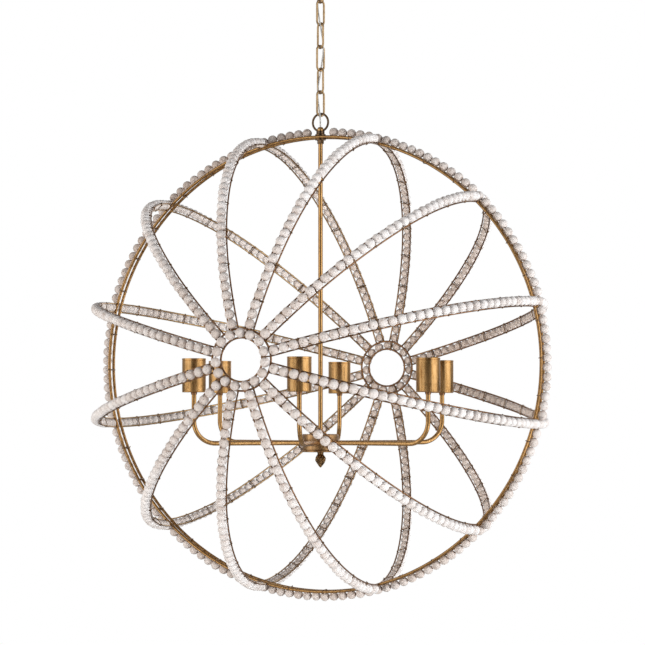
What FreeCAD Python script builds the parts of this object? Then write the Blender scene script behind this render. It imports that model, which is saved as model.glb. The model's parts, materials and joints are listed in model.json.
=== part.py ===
import FreeCAD, Part
import math
import os

from FreeCAD import Matrix, Vector

# Beaded orb chandelier: a wire sphere strung with wooden beads, hung on a chain, with six lamps inside.
# Millimetres. The origin is on the ceiling, +Z is up, and the line through both hubs runs along Y.

# Beads and their strings
BEAD_D = 16.0
BEAD_HOLE_D = 2.8
STRING_D = 1.0
STRING_INSET = 1.0

# Orb
ORB_D = 813.0
RIBS = 12
RAIL_D = 2.8
RAIL_SPACING = 15.0
RIM_WIRE_D = 5.2
RIM_STEM_CLEARANCE = 2.4
RIM_INSET = 0.2
HUB_BEADS = 15
HUB_BEAD_GAP = 1.5
HUB_WIRE_D = 3.0
HUB_SPACING = 14.5
HUB_TIES = 5
TIE_D = 1.2
TIE_EVERY = 4
TIE_OVERHANG = 1.0

# Clearances: beads and ties on wires, welded ends, screwed joints, links hooked in links
SEAT_GAP = 0.1
WELD_GAP = 0.1
THREAD_GAP = 0.05
HOOK_GAP = 0.25

# Ceiling plate
CANOPY_D = 130.0
CANOPY_H = 26.0
CANOPY_EDGE_H = 6.0
CANOPY_FLAT_D = 40.0
CANOPY_WALL = 1.2
STRAP_L = 104.0
STRAP_W = 18.0
STRAP_T = 2.5
SLOT_SPACING = 79.4
SLOT_L = 14.7
SLOT_W = 5.2
GROUND_SCREW_D = 4.0
GROUND_HEAD_D = 8.0
GROUND_HEAD_H = 2.4
GROUND_SCREW_AT = 22.0
NIPPLE_D = 9.6
NIPPLE_BORE = 6.4
NIPPLE_TOP = 0.2
LOCK_NUT_AF = 14.0
LOCK_NUT_H = 3.5
RING_NUT_D = 24.0
RING_NUT_H = 6.0

# Screw loops at both ends of the chain
LOOP_BASE_D = 14.5
LOOP_BASE_H = 5.6
LOOP_THREAD_DEPTH = 4.5
LOOP_D = 34.0
LOOP_WIRE_D = 3.8
LOOP_TURN = -10.35
KNOB_D = 12.0
KNOB_TIP_D = 6.6
KNOB_H = 7.0
LEAD_BORE = 4.4

# Chain
LINKS = 6
LINK_L = 46.8
LINK_W = 18.5
LINK_WIRE_D = 3.6
CHAIN_TURN = 56.0

# Supply lead, threaded through every link
LEAD_D = 2.6
LEAD_OFFSET = 4.05
LEAD_BEND_R = 28.0
LEAD_TOP = 1.0

# Stem and its clamp on the rim
STEM_D = 8.0
STEM_BORE = 5.4
STEM_NUT_AF = 10.5
STEM_NUT_H = 6.0
WASHER_LAP = 0.6
WASHER_T = 2.5

# Drum that the arms spring from
DRUM_D = 62.0
DRUM_H = 27.5
DRUM_WALL = 1.5
DRUM_TOP_TO_ARMS = 15.0
COVER_D = 68.0
COVER_T = 3.5
FINIAL_D = 18.0
FINIAL_L = 27.0
FINIAL_NECK_D = 11.0
FINIAL_NECK_H = 2.5
FINIAL_BELLY_AT = 12.0
FINIAL_TIP_D = 2.4
FINIAL_BORE_DEPTH = 8.0

# Arms and lamp sockets
ARMS = 6
ARM_TURN = 40.0
ARM_D = 8.0
ARM_BORE = 6.0
ARM_BEND_R = 38.0
ARM_INSET = 1.0
ARMS_BELOW_CENTRE = 136.0
CUP_CIRCLE_D = 460.0
CUP_D = 40.6
CUP_H = 57.5
CUP_WALL = 1.2
CUP_FLOOR = 1.6
CUP_TOP_ABOVE_CENTRE = 8.0
COLLAR_D = 14.0
COLLAR_H = 5.0
HOLDER_D = 34.0
HOLDER_H = 50.0
HOLDER_GRIP = 6.0
SHELL_BORE = 26.4
SHELL_WALL = 0.8
SHELL_L = 27.0
CONTACT_D = 8.0
CONTACT_T = 3.0
CONTACT_WELL_D = 20.0
WIRE_D = 2.4
WIRE_PORT_D = 3.2

# Radii that follow from the sizes above
bead_r = BEAD_D / 2
rail_r = RAIL_D / 2
rim_wire_r = RIM_WIRE_D / 2
hub_wire_r = HUB_WIRE_D / 2
tie_r = TIE_D / 2
string_r = STRING_D / 2
loop_wire_r = LOOP_WIRE_D / 2
link_wire_r = LINK_WIRE_D / 2
stem_r = STEM_D / 2


def nest_height(wire_r, spacing):
    """How far a bead's centre stands off two parallel wires that it nestles between."""
    reach = bead_r + wire_r + SEAT_GAP
    return math.sqrt(max(reach ** 2 - (spacing / 2) ** 2, 0.0))


# Ribs: a circle of beads, and the circle of the rails that they nestle between
bead_circle_r = ORB_D / 2 - bead_r
rail_circle_r = bead_circle_r - nest_height(rail_r, RAIL_SPACING)

# Rim: two wires inside the rails' circle, ties between them, and beads that sit on the ties
rim_spacing = STEM_D + 2 * RIM_STEM_CLEARANCE + RIM_WIRE_D
rim_circle_r = rail_circle_r - RIM_INSET
rim_bead_circle_r = rim_circle_r + tie_r + SEAT_GAP + bead_r
sector = 360.0 / RIBS
places = int(math.radians(sector) * rim_bead_circle_r / BEAD_D)
bead_step = sector / places
first_rib = sector / 2

# Hubs: a ring of beads between an inner and an outer wire ring
hub_bead_circle_r = (BEAD_D + HUB_BEAD_GAP) / (2 * math.sin(math.pi / HUB_BEADS))
hub_inner_r = hub_bead_circle_r - HUB_SPACING / 2
hub_outer_r = hub_bead_circle_r + HUB_SPACING / 2
hub_y = math.sqrt(rail_circle_r ** 2 - hub_outer_r ** 2)
hub_bead_y = hub_y + nest_height(hub_wire_r, HUB_SPACING)

# Rail ends: on the rim wire at one end and on the outer hub ring at the other
rail_rim_y = rim_spacing / 2 + rim_wire_r + WELD_GAP
rail_rim_angle = math.degrees(math.asin(rail_rim_y / rail_circle_r))
rail_hub_rho = math.sqrt((hub_outer_r + hub_wire_r + WELD_GAP) ** 2 - (RAIL_SPACING / 2 - rail_r) ** 2)
rail_hub_angle = math.degrees(math.acos(rail_hub_rho / rail_circle_r))


def keep_off(out, along, apart):
    """A point's angle from the rim, and the angle from it at which a rib's bead lies this far from it."""
    reach = math.hypot(out, along)
    cosine = (bead_circle_r ** 2 + reach ** 2 - apart ** 2) / (2 * bead_circle_r * reach)
    return math.degrees(math.atan2(along, out)), math.degrees(math.acos(min(cosine, 1.0)))


def rib_bead_angles():
    """Angles from the rim of the beads on half a rib, spread evenly from the rim to the hub."""
    wire_at, wire_off = keep_off(rim_circle_r, rim_spacing / 2, bead_r + rim_wire_r + SEAT_GAP)
    bead_at, bead_off = keep_off(rim_bead_circle_r, 0.0, BEAD_D + SEAT_GAP)
    ring_at, ring_off = keep_off(hub_outer_r, hub_y, bead_r + hub_wire_r + SEAT_GAP)
    hub_at, hub_off = keep_off(hub_bead_circle_r, hub_bead_y, BEAD_D + SEAT_GAP)
    closest = keep_off(bead_circle_r, 0.0, BEAD_D + SEAT_GAP)[1]
    first = max(wire_at + wire_off, bead_at + bead_off)
    last = min(ring_at - ring_off, hub_at - hub_off)
    steps = int((last - first) / closest)
    return [first + (last - first) * n / steps for n in range(steps + 1)]


# Heights, from the ceiling down
loop_ring_r = LOOP_D / 2 - loop_wire_r
loop_centre = LOOP_BASE_H + loop_ring_r
canopy_loop_z = -CANOPY_H - RING_NUT_H
link_drop = LINK_L - LINK_WIRE_D
hinge_z = [canopy_loop_z - loop_centre - loop_ring_r]
link_top_z = []
for link in range(LINKS):
    upper_wire_r = link_wire_r if link else loop_wire_r
    link_top_z.append(hinge_z[-1] + upper_wire_r + link_wire_r + HOOK_GAP)
    hinge_z.append(link_top_z[-1] - link_drop)
top_ring_z = hinge_z[-1] + link_wire_r + loop_wire_r + HOOK_GAP - loop_ring_r
top_loop_z = top_ring_z - loop_centre
washer_d = rim_spacing + WASHER_LAP
rim_dip = rim_circle_r - math.sqrt(rim_circle_r ** 2 - (washer_d / 2) ** 2)
rim_top_z = top_loop_z - WASHER_T - THREAD_GAP
orb_z = rim_top_z - rim_wire_r - rim_circle_r
lower_washer_z = rim_top_z - RIM_WIRE_D - rim_dip - THREAD_GAP - WASHER_T
stem_top_z = top_loop_z + LOOP_THREAD_DEPTH - THREAD_GAP
arm_z = orb_z - ARMS_BELOW_CENTRE
drum_top_z = arm_z + DRUM_TOP_TO_ARMS
cover_top_z = drum_top_z - DRUM_H
finial_top_z = cover_top_z - COVER_T
stem_bottom_z = finial_top_z - FINIAL_BORE_DEPTH + THREAD_GAP
cup_bottom_z = orb_z + CUP_TOP_ABOVE_CENTRE - CUP_H
cup_circle_r = CUP_CIRCLE_D / 2
holder_z = cup_bottom_z + CUP_FLOOR
holder_floor_z = holder_z + HOLDER_H - SHELL_L - CONTACT_T

Z_AXIS = Vector(0, 0, 1)
ORIGIN = Vector(0, 0, 0)


def cylinder(diameter, bottom_z, height):
    """Upright cylinder on the Z axis."""
    return Part.makeCylinder(diameter / 2, height, Vector(0, 0, bottom_z))


def tube(outer_d, bore_d, bottom_z, height):
    """Upright tube on the Z axis."""
    return cylinder(outer_d, bottom_z, height).cut(cylinder(bore_d, bottom_z, height))


def hex_nut(across_flats, bore_d, bottom_z, height):
    """Hexagon nut on the Z axis."""
    corner_r = across_flats / math.sqrt(3)
    corners = [
        Vector(corner_r * math.cos(math.radians(a)), corner_r * math.sin(math.radians(a)), bottom_z)
        for a in range(0, 361, 60)
    ]
    prism = Part.Face(Part.makePolygon(corners)).extrude(Vector(0, 0, height))
    return prism.cut(cylinder(bore_d, bottom_z, height))


def turned(outline):
    """Solid of revolution about Z of a closed outline given as edges or points in the XZ plane."""
    if isinstance(outline[0], Vector):
        wire = Part.makePolygon(outline + [outline[0]])
    else:
        wire = Part.Wire(outline)
    return Part.Face(wire).revolve(ORIGIN, Z_AXIS, 360)


def at_turn(shape, degrees):
    """Copy of a shape turned about Z."""
    copy = shape.copy()
    copy.rotate(ORIGIN, Z_AXIS, degrees)
    return copy


def ring_frame():
    """Frame with local X up, local Y along +X and local Z along the hub line, at the orb's centre."""
    return Matrix(0, 1, 0, 0, 0, 0, 1, 0, 1, 0, 0, orb_z, 0, 0, 0, 1)


def rib_frame(degrees):
    """Frame of a rib: local X out of the hub line at this angle from +Z, local Y along the hub line."""
    s, c = math.sin(math.radians(degrees)), math.cos(math.radians(degrees))
    return Matrix(s, 0, -c, 0, 0, 1, 0, 0, c, 0, s, orb_z, 0, 0, 0, 1)


def bent_wire(circle_r, wire_r, start=0.0, sweep=360.0, offset=0.0):
    """Round wire bent on a circle about local Z, from an angle from local X, at a height on local Z."""
    wire = Part.makeTorus(circle_r, wire_r, Vector(0, 0, offset), Z_AXIS, 0, 360, sweep)
    wire.rotate(ORIGIN, Z_AXIS, start)
    return wire


def framed(shape, frame):
    """Copy of a shape moved from a local frame to the chandelier."""
    copy = shape.copy()
    copy.transformShape(frame)
    return copy


def rounded_path(points, radius):
    """Wire through the points, with each corner replaced by a tangent arc."""
    edges, at = [], points[0]
    for before, corner, after in zip(points, points[1:], points[2:]):
        into = (corner - before).normalize()
        out = (after - corner).normalize()
        half_turn = into.getAngle(out) / 2
        cut = radius * math.tan(half_turn)
        start, end = corner - into * cut, corner + out * cut
        middle = corner + (out - into).normalize() * (radius / math.cos(half_turn) - radius)
        edges.append(Part.LineSegment(at, start).toShape())
        edges.append(Part.Arc(start, middle, end).toShape())
        at = end
    edges.append(Part.LineSegment(at, points[-1]).toShape())
    return Part.Wire(edges)


def rod_along(points, rod_r, bend_r):
    """Round rod along a path of straight runs and tangent arcs."""
    path = rounded_path(points, bend_r)
    section = Part.Wire(Part.makeCircle(rod_r, points[0], points[1] - points[0]))
    return path.makePipeShell([section], True, False)


def make_bead():
    """Wooden bead with its hole along local Y."""
    hole = Part.makeCylinder(BEAD_HOLE_D / 2, 2 * BEAD_D, Vector(0, -BEAD_D, 0), Vector(0, 1, 0))
    return Part.makeSphere(bead_r).cut(hole)


def strung_bead(bead, circle_r, degrees, offset=0.0):
    """Bead strung on a circle about local Z."""
    copy = bead.copy()
    copy.translate(Vector(circle_r, 0, offset))
    copy.rotate(ORIGIN, Z_AXIS, degrees)
    return copy


def rib_degrees(number):
    return first_rib + sector * number


def make_rib_wires(number):
    """The four rails of one rib: a pair from the rim to each hub."""
    sweep = rail_hub_angle - rail_rim_angle
    rails = []
    for side in (-RAIL_SPACING / 2, RAIL_SPACING / 2):
        rails.append(bent_wire(rail_circle_r, rail_r, rail_rim_angle, sweep, side))
        rails.append(bent_wire(rail_circle_r, rail_r, -rail_hub_angle, sweep, side))
    return [framed(rail, rib_frame(rib_degrees(number))) for rail in rails]


def make_rib_beads(number):
    """The beads of one rib: a run from the rim to each hub."""
    bead, angles = make_bead(), rib_bead_angles()
    beads = [strung_bead(bead, bead_circle_r, side * a) for side in (-1, 1) for a in angles]
    return [framed(b, rib_frame(rib_degrees(number))) for b in beads]


def is_clear_of_stem(degrees, half_width):
    """Is a piece on the rim, at this angle from the top, beside the stem's clamp and not under it?"""
    off_top = abs((degrees + 180.0) % 360.0 - 180.0)
    sideways = rim_bead_circle_r * math.sin(math.radians(off_top))
    return off_top > 90.0 or sideways > washer_d / 2 + half_width


def rim_bead_angles():
    """Angles from the top of the rim's beads, from one side of the stem round to the other."""
    spots = sorted((first_rib + bead_step * n) % 360.0 for n in range(RIBS * places))
    return [a for a in spots if is_clear_of_stem(a, bead_r)]


def make_rim_beads():
    bead = make_bead()
    return [framed(strung_bead(bead, rim_bead_circle_r, a), ring_frame()) for a in rim_bead_angles()]


def make_hub_beads(side):
    bead = make_bead()
    return [
        framed(strung_bead(bead, hub_bead_circle_r, 360.0 * n / HUB_BEADS, side * hub_bead_y), ring_frame())
        for n in range(HUB_BEADS)
    ]


def string_span(angles, circle_r):
    """Start and sweep of the string through beads at these angles: it ends inside the first and last bead."""
    inset = math.degrees((bead_r - STRING_INSET) / circle_r)
    return angles[0] - inset, angles[-1] - angles[0] + 2 * inset


def make_strings():
    """Thin wires through the beads: one for each half of a rib, one for the rim and one for each hub."""
    strings = []
    start, sweep = string_span(rib_bead_angles(), bead_circle_r)
    for rib in range(RIBS):
        for begin in (start, -start - sweep):
            string = bent_wire(bead_circle_r, string_r, begin, sweep)
            strings.append(framed(string, rib_frame(rib_degrees(rib))))
    start, sweep = string_span(rim_bead_angles(), rim_bead_circle_r)
    strings.append(framed(bent_wire(rim_bead_circle_r, string_r, start, sweep), ring_frame()))
    for side in (-1, 1):
        string = bent_wire(hub_bead_circle_r, string_r, offset=side * hub_bead_y)
        strings.append(framed(string, ring_frame()))
    return strings


def make_ties():
    """Short cross wires inside the rails, between the rim wires under some beads, and behind the hub rings."""
    ties = []
    rib_tie_l = RAIL_SPACING + RAIL_D + 2 * TIE_OVERHANG
    rib_tie_r = rail_circle_r - rail_r - tie_r - SEAT_GAP
    rib_tie = Part.makeCylinder(tie_r, rib_tie_l, Vector(rib_tie_r, 0, -rib_tie_l / 2))
    angles = rib_bead_angles()
    half_step = (angles[1] - angles[0]) / 2
    for rib in range(RIBS):
        for angle in angles[TIE_EVERY - 1:-1:TIE_EVERY]:
            for side in (-1, 1):
                tie = at_turn(rib_tie, side * (angle + half_step))
                ties.append(framed(tie, rib_frame(rib_degrees(rib))))
    rim_tie_l = rim_spacing - RIM_WIRE_D - 2 * WELD_GAP
    rim_tie = Part.makeCylinder(tie_r, rim_tie_l, Vector(rim_circle_r, 0, -rim_tie_l / 2))
    for rib in range(RIBS):
        for place in range(TIE_EVERY // 2, places, TIE_EVERY):
            angle = rib_degrees(rib) - sector + bead_step * place
            if is_clear_of_stem(angle, tie_r):
                ties.append(framed(at_turn(rim_tie, angle), ring_frame()))
    hub_tie_l = HUB_SPACING + HUB_WIRE_D
    for side in (-1, 1):
        level = side * (hub_y - hub_wire_r - tie_r - SEAT_GAP)
        hub_tie = Part.makeCylinder(tie_r, hub_tie_l, Vector(hub_inner_r - hub_wire_r, 0, level), Vector(1, 0, 0))
        for n in range(HUB_TIES):
            angle = 360.0 * n / HUB_TIES + 180.0 / HUB_BEADS
            ties.append(framed(at_turn(hub_tie, angle), ring_frame()))
    return ties


def make_loop():
    """Screw loop standing on its base: threaded base, knob with the lead's hole, and ring in the XZ plane."""
    base = cylinder(LOOP_BASE_D, 0, LOOP_BASE_H)
    knob = Part.makeCone(KNOB_D / 2, KNOB_TIP_D / 2, KNOB_H, Vector(0, 0, LOOP_BASE_H))
    ring = bent_wire(loop_ring_r, loop_wire_r)
    ring.rotate(ORIGIN, Vector(1, 0, 0), 90)
    ring.translate(Vector(0, 0, loop_centre))
    loop = base.multiFuse([knob, ring])
    return loop.cut(cylinder(LEAD_BORE, -1, LOOP_BASE_H + KNOB_H + 2))


def make_canopy_loop():
    loop = make_loop().cut(cylinder(NIPPLE_D + 2 * THREAD_GAP, 0, LOOP_THREAD_DEPTH))
    loop.rotate(ORIGIN, Vector(1, 0, 0), 180)
    loop = at_turn(loop, CHAIN_TURN)
    loop.translate(Vector(0, 0, canopy_loop_z))
    return loop


def make_top_loop():
    loop = make_loop().cut(cylinder(STEM_D + 2 * THREAD_GAP, 0, LOOP_THREAD_DEPTH))
    loop = at_turn(loop, LOOP_TURN)
    loop.translate(Vector(0, 0, top_loop_z))
    return loop


def canopy_body(radius, height, edge_h, flat_r):
    """Dished solid under the ceiling: an upright edge, a round shoulder and a flat bottom."""
    shoulder_h = height - edge_h
    lean = Vector(flat_r, 0, -height) - Vector(radius, 0, -edge_h)
    middle = Vector((radius + flat_r) / 2, 0, -edge_h - shoulder_h / 2)
    middle = middle + Vector(-lean.z, 0, lean.x).normalize() * (shoulder_h / 4)
    return turned([
        Part.LineSegment(ORIGIN, Vector(radius, 0, 0)).toShape(),
        Part.LineSegment(Vector(radius, 0, 0), Vector(radius, 0, -edge_h)).toShape(),
        Part.Arc(Vector(radius, 0, -edge_h), middle, Vector(flat_r, 0, -height)).toShape(),
        Part.LineSegment(Vector(flat_r, 0, -height), Vector(0, 0, -height)).toShape(),
        Part.LineSegment(Vector(0, 0, -height), ORIGIN).toShape(),
    ])


def make_canopy():
    outer = canopy_body(CANOPY_D / 2, CANOPY_H, CANOPY_EDGE_H, CANOPY_FLAT_D / 2)
    inner = canopy_body(
        CANOPY_D / 2 - CANOPY_WALL, CANOPY_H - CANOPY_WALL, CANOPY_EDGE_H, CANOPY_FLAT_D / 2 - CANOPY_WALL
    )
    return outer.cut(inner).cut(cylinder(NIPPLE_D + 2 * THREAD_GAP, -CANOPY_H - 1, CANOPY_H))


def make_strap():
    """Mounting strap with a slot at each end for the ceiling box's screws."""
    strap = Part.makeBox(STRAP_L, STRAP_W, STRAP_T, Vector(-STRAP_L / 2, -STRAP_W / 2, -STRAP_T))
    strap = strap.cut(cylinder(NIPPLE_D + 2 * THREAD_GAP, -STRAP_T, STRAP_T))
    for side in (-1, 1):
        straight = SLOT_L - SLOT_W
        middle = side * SLOT_SPACING / 2
        slot = Part.makeBox(straight, SLOT_W, STRAP_T, Vector(middle - straight / 2, -SLOT_W / 2, -STRAP_T))
        for end in (-straight / 2, straight / 2):
            slot = slot.fuse(Part.makeCylinder(SLOT_W / 2, STRAP_T, Vector(middle + end, 0, -STRAP_T)))
        strap = strap.cut(slot)
    hole = Part.makeCylinder(GROUND_SCREW_D / 2 + THREAD_GAP, STRAP_T, Vector(GROUND_SCREW_AT, 0, -STRAP_T))
    return strap.cut(hole)


def make_ground_screw():
    """Pan head screw in the strap, head down."""
    head = cylinder(GROUND_HEAD_D, -STRAP_T - GROUND_HEAD_H, GROUND_HEAD_H)
    shank = cylinder(GROUND_SCREW_D, -STRAP_T, STRAP_T - NIPPLE_TOP)
    screw = head.fuse(shank)
    screw.translate(Vector(GROUND_SCREW_AT, 0, 0))
    return screw


def make_nipple():
    """Threaded tube from the strap through the canopy into the canopy loop."""
    bottom = canopy_loop_z - LOOP_THREAD_DEPTH + THREAD_GAP
    return tube(NIPPLE_D, NIPPLE_BORE, bottom, -NIPPLE_TOP - bottom)


def make_link():
    """Oblong chain link in the XZ plane, with the middle of its top wire at the origin."""
    bend_r = LINK_W / 2 - link_wire_r
    straight = link_drop - 2 * bend_r
    upper = bent_wire(bend_r, link_wire_r, 0, 180)
    lower = bent_wire(bend_r, link_wire_r, 180, 180)
    lower.translate(Vector(0, -straight, 0))
    sides = [
        Part.makeCylinder(link_wire_r, straight, Vector(x, -straight, 0), Vector(0, 1, 0))
        for x in (-bend_r, bend_r)
    ]
    link = upper.multiFuse([lower] + sides).removeSplitter()
    link.translate(Vector(0, -bend_r, 0))
    link.rotate(ORIGIN, Vector(1, 0, 0), 90)
    return link


def piece_turn(number):
    """Turn about Z of a chain piece: 0 is the canopy loop, and links are turned by 90 degrees in turn."""
    return CHAIN_TURN + 90.0 * (number % 2)


def make_chain_link(number):
    link = at_turn(make_link(), piece_turn(number))
    link.translate(Vector(0, 0, link_top_z[number - 1]))
    return link


def lead_corners():
    """Corners of the lead's route: straight out of the canopy loop, round each hook, into the top loop."""
    knob_reach = LOOP_BASE_H + KNOB_H
    corners = [Vector(0, 0, -LEAD_TOP), Vector(0, 0, canopy_loop_z - knob_reach)]
    for hook, level in enumerate(hinge_z):
        turn = math.radians(CHAIN_TURN + 45.0 + 90.0 * hook)
        out = LEAD_OFFSET * math.sqrt(2)
        corners.append(Vector(out * math.cos(turn), out * math.sin(turn), level + link_wire_r))
    corners.append(Vector(0, 0, top_loop_z + knob_reach))
    corners.append(Vector(0, 0, top_loop_z + LOOP_BASE_H))
    return corners


def make_lead(number):
    """Stretch of the lead round one hook, from the middle of one link to the middle of the next."""
    corners = lead_corners()
    points = [corners[number + 1]]
    points.insert(0, (corners[number] + corners[number + 1]) * 0.5)
    points.append((corners[number + 1] + corners[number + 2]) * 0.5)
    if number == 1:
        points = corners[:3] + [points[-1]]
    if number == LINKS + 1:
        points = [points[0]] + corners[-3:]
    return rod_along(points, LEAD_D / 2, LEAD_BEND_R)


def make_washers():
    bore = STEM_D + 2 * THREAD_GAP
    return [
        tube(washer_d, bore, top_loop_z - WASHER_T, WASHER_T),
        tube(washer_d, bore, lower_washer_z, WASHER_T),
    ]


def make_stem_nuts():
    bore = STEM_D + 2 * THREAD_GAP
    return [
        hex_nut(STEM_NUT_AF, bore, lower_washer_z - STEM_NUT_H, STEM_NUT_H),
        hex_nut(STEM_NUT_AF, bore, drum_top_z - DRUM_WALL - STEM_NUT_H, STEM_NUT_H),
    ]


def make_stem():
    """Centre tube, with a port for each arm's wire inside the drum."""
    stem = tube(STEM_D, STEM_BORE, stem_bottom_z, stem_top_z - stem_bottom_z)
    for arm in range(ARMS):
        port = Part.makeCylinder(WIRE_PORT_D / 2, STEM_D, Vector(0, 0, arm_z), Vector(1, 0, 0))
        stem = stem.cut(at_turn(port, arm_degrees(arm)))
    return stem


def make_stem_lead():
    top = top_loop_z + LOOP_BASE_H
    return cylinder(LEAD_D, arm_z, top - arm_z)


def make_drum():
    """Drum open below, with a hole for the stem and one for each arm."""
    drum = cylinder(DRUM_D, cover_top_z, DRUM_H)
    drum = drum.cut(cylinder(DRUM_D - 2 * DRUM_WALL, cover_top_z, DRUM_H - DRUM_WALL))
    drum = drum.cut(cylinder(STEM_D + 2 * THREAD_GAP, cover_top_z, DRUM_H))
    for arm in range(ARMS):
        hole = Part.makeCylinder(ARM_D / 2 + THREAD_GAP, DRUM_D, Vector(0, 0, arm_z), Vector(1, 0, 0))
        drum = drum.cut(at_turn(hole, arm_degrees(arm)))
    return drum


def make_cover():
    return tube(COVER_D, STEM_D + 2 * THREAD_GAP, finial_top_z, COVER_T)


def make_finial():
    """Bud shaped nut that holds the drum's cover up."""
    bud = turned([
        Vector(0, 0, finial_top_z),
        Vector(FINIAL_NECK_D / 2, 0, finial_top_z),
        Vector(FINIAL_NECK_D / 2, 0, finial_top_z - FINIAL_NECK_H),
        Vector(FINIAL_D / 2, 0, finial_top_z - FINIAL_BELLY_AT),
        Vector(FINIAL_TIP_D / 2, 0, finial_top_z - FINIAL_L),
        Vector(0, 0, finial_top_z - FINIAL_L),
    ])
    return bud.cut(cylinder(STEM_D + 2 * THREAD_GAP, finial_top_z - FINIAL_BORE_DEPTH, FINIAL_BORE_DEPTH))


def arm_degrees(number):
    return ARM_TURN + 360.0 / ARMS * number


def arm_path(start_r, end_z):
    return [Vector(start_r, 0, arm_z), Vector(cup_circle_r, 0, arm_z), Vector(cup_circle_r, 0, end_z)]


def make_arm():
    """Arm along X: bent tube from the drum's inside to the lampholder, with a collar under the cup."""
    inner_end = DRUM_D / 2 - DRUM_WALL - ARM_INSET
    path = arm_path(inner_end, holder_z + HOLDER_GRIP)
    collar = cylinder(COLLAR_D, cup_bottom_z - COLLAR_H, COLLAR_H)
    collar.translate(Vector(cup_circle_r, 0, 0))
    arm = rod_along(path, ARM_D / 2, ARM_BEND_R).fuse(collar)
    return arm.cut(rod_along(path, ARM_BORE / 2, ARM_BEND_R))


def make_arm_wire():
    """Insulated wire from the stem's port through an arm to the lampholder."""
    return rod_along(arm_path(stem_r - THREAD_GAP, holder_floor_z - SEAT_GAP), WIRE_D / 2, ARM_BEND_R)


def make_cup():
    cup = cylinder(CUP_D, cup_bottom_z, CUP_H)
    cup = cup.cut(cylinder(CUP_D - 2 * CUP_WALL, cup_bottom_z + CUP_FLOOR, CUP_H))
    return cup.cut(cylinder(ARM_D + 2 * THREAD_GAP, cup_bottom_z, CUP_FLOOR))


def make_holder():
    """Insulating lampholder body, gripping the arm's end below and the screw shell above."""
    holder = cylinder(HOLDER_D, holder_z, HOLDER_H)
    shell_d = SHELL_BORE + 2 * SHELL_WALL
    holder = holder.cut(cylinder(shell_d + 2 * THREAD_GAP, holder_floor_z, HOLDER_H))
    holder = holder.cut(cylinder(ARM_D + 2 * THREAD_GAP, holder_z, HOLDER_GRIP + THREAD_GAP))
    return holder.cut(cylinder(WIRE_PORT_D, holder_z, HOLDER_H))


def make_shell():
    """Screw shell that takes the lamp's cap."""
    bottom = holder_floor_z + CONTACT_T
    return tube(SHELL_BORE + 2 * SHELL_WALL, SHELL_BORE, bottom, SHELL_L)


def make_contact():
    """Centre contact on the floor of the lampholder."""
    rim = cylinder(SHELL_BORE + 2 * SHELL_WALL, holder_floor_z, CONTACT_T)
    well = cylinder(CONTACT_WELL_D, holder_floor_z + CONTACT_T / 2, CONTACT_T)
    button = cylinder(CONTACT_D, holder_floor_z, CONTACT_T)
    return rim.cut(well).fuse(button)


def round_the_arms(shape):
    """A copy of a cup axis piece at the end of each arm."""
    copies = []
    for arm in range(ARMS):
        copy = shape.copy()
        copy.translate(Vector(cup_circle_r, 0, 0))
        copies.append(at_turn(copy, arm_degrees(arm)))
    return copies


def build():
    """All pieces as lists of solids, by name."""
    nodes = {
        "mounting_strap": [make_strap()],
        "ground_screw": [make_ground_screw()],
        "canopy": [make_canopy()],
        "canopy_nipple": [make_nipple()],
        "nipple_lock_nut": [hex_nut(LOCK_NUT_AF, NIPPLE_D + 2 * THREAD_GAP, -STRAP_T - LOCK_NUT_H, LOCK_NUT_H)],
        "canopy_ring_nut": [tube(RING_NUT_D, NIPPLE_D + 2 * THREAD_GAP, canopy_loop_z, RING_NUT_H)],
        "canopy_loop": [make_canopy_loop()],
        "top_loop": [make_top_loop()],
        "rim_washers": make_washers(),
        "stem_nuts": make_stem_nuts(),
        "centre_stem": [make_stem()],
        "stem_lead": [make_stem_lead()],
        "drum_body": [make_drum()],
        "drum_cover": [make_cover()],
        "finial": [make_finial()],
        "lamp_arms": [at_turn(make_arm(), arm_degrees(n)) for n in range(ARMS)],
        "arm_wires": [at_turn(make_arm_wire(), arm_degrees(n)) for n in range(ARMS)],
        "socket_cups": round_the_arms(make_cup()),
        "lampholders": round_the_arms(make_holder()),
        "screw_shells": round_the_arms(make_shell()),
        "centre_contacts": round_the_arms(make_contact()),
        "rim_beads": make_rim_beads(),
        "bead_strings": make_strings(),
        "tie_wires": make_ties(),
    }
    for number in range(1, LINKS + 1):
        nodes[f"chain_link_{number}"] = [make_chain_link(number)]
    for number in range(1, LINKS + 2):
        nodes[f"supply_lead_{number}"] = [make_lead(number)]
    for side, name in ((-1, "front"), (1, "rear")):
        rings = [bent_wire(r, hub_wire_r, offset=side * hub_y) for r in (hub_inner_r, hub_outer_r)]
        rim = bent_wire(rim_circle_r, rim_wire_r, offset=side * rim_spacing / 2)
        nodes[f"{name}_rim_ring"] = [framed(rim, ring_frame())]
        nodes[f"{name}_hub_inner_ring"] = [framed(rings[0], ring_frame())]
        nodes[f"{name}_hub_outer_ring"] = [framed(rings[1], ring_frame())]
        nodes[f"{name}_hub_beads"] = make_hub_beads(side)
    for pair in range(RIBS // 2):
        opposite = pair + RIBS // 2
        nodes[f"rib_wires_{pair + 1}"] = make_rib_wires(pair) + make_rib_wires(opposite)
        nodes[f"rib_beads_{pair + 1}"] = make_rib_beads(pair) + make_rib_beads(opposite)
    return nodes


def main():
    os.makedirs("parts", exist_ok=True)
    for name, solids in build().items():
        Part.makeCompound(solids).exportStep(f"parts/{name}.step")
        print(name, len(solids), "solids", all(s.isValid() for s in solids))


main()
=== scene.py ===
import json

import bmesh
import bpy
import numpy as np
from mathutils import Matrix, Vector
from numpy import array, clip, concatenate, cos, linspace, pi, radians, sin, sqrt, stack

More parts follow.
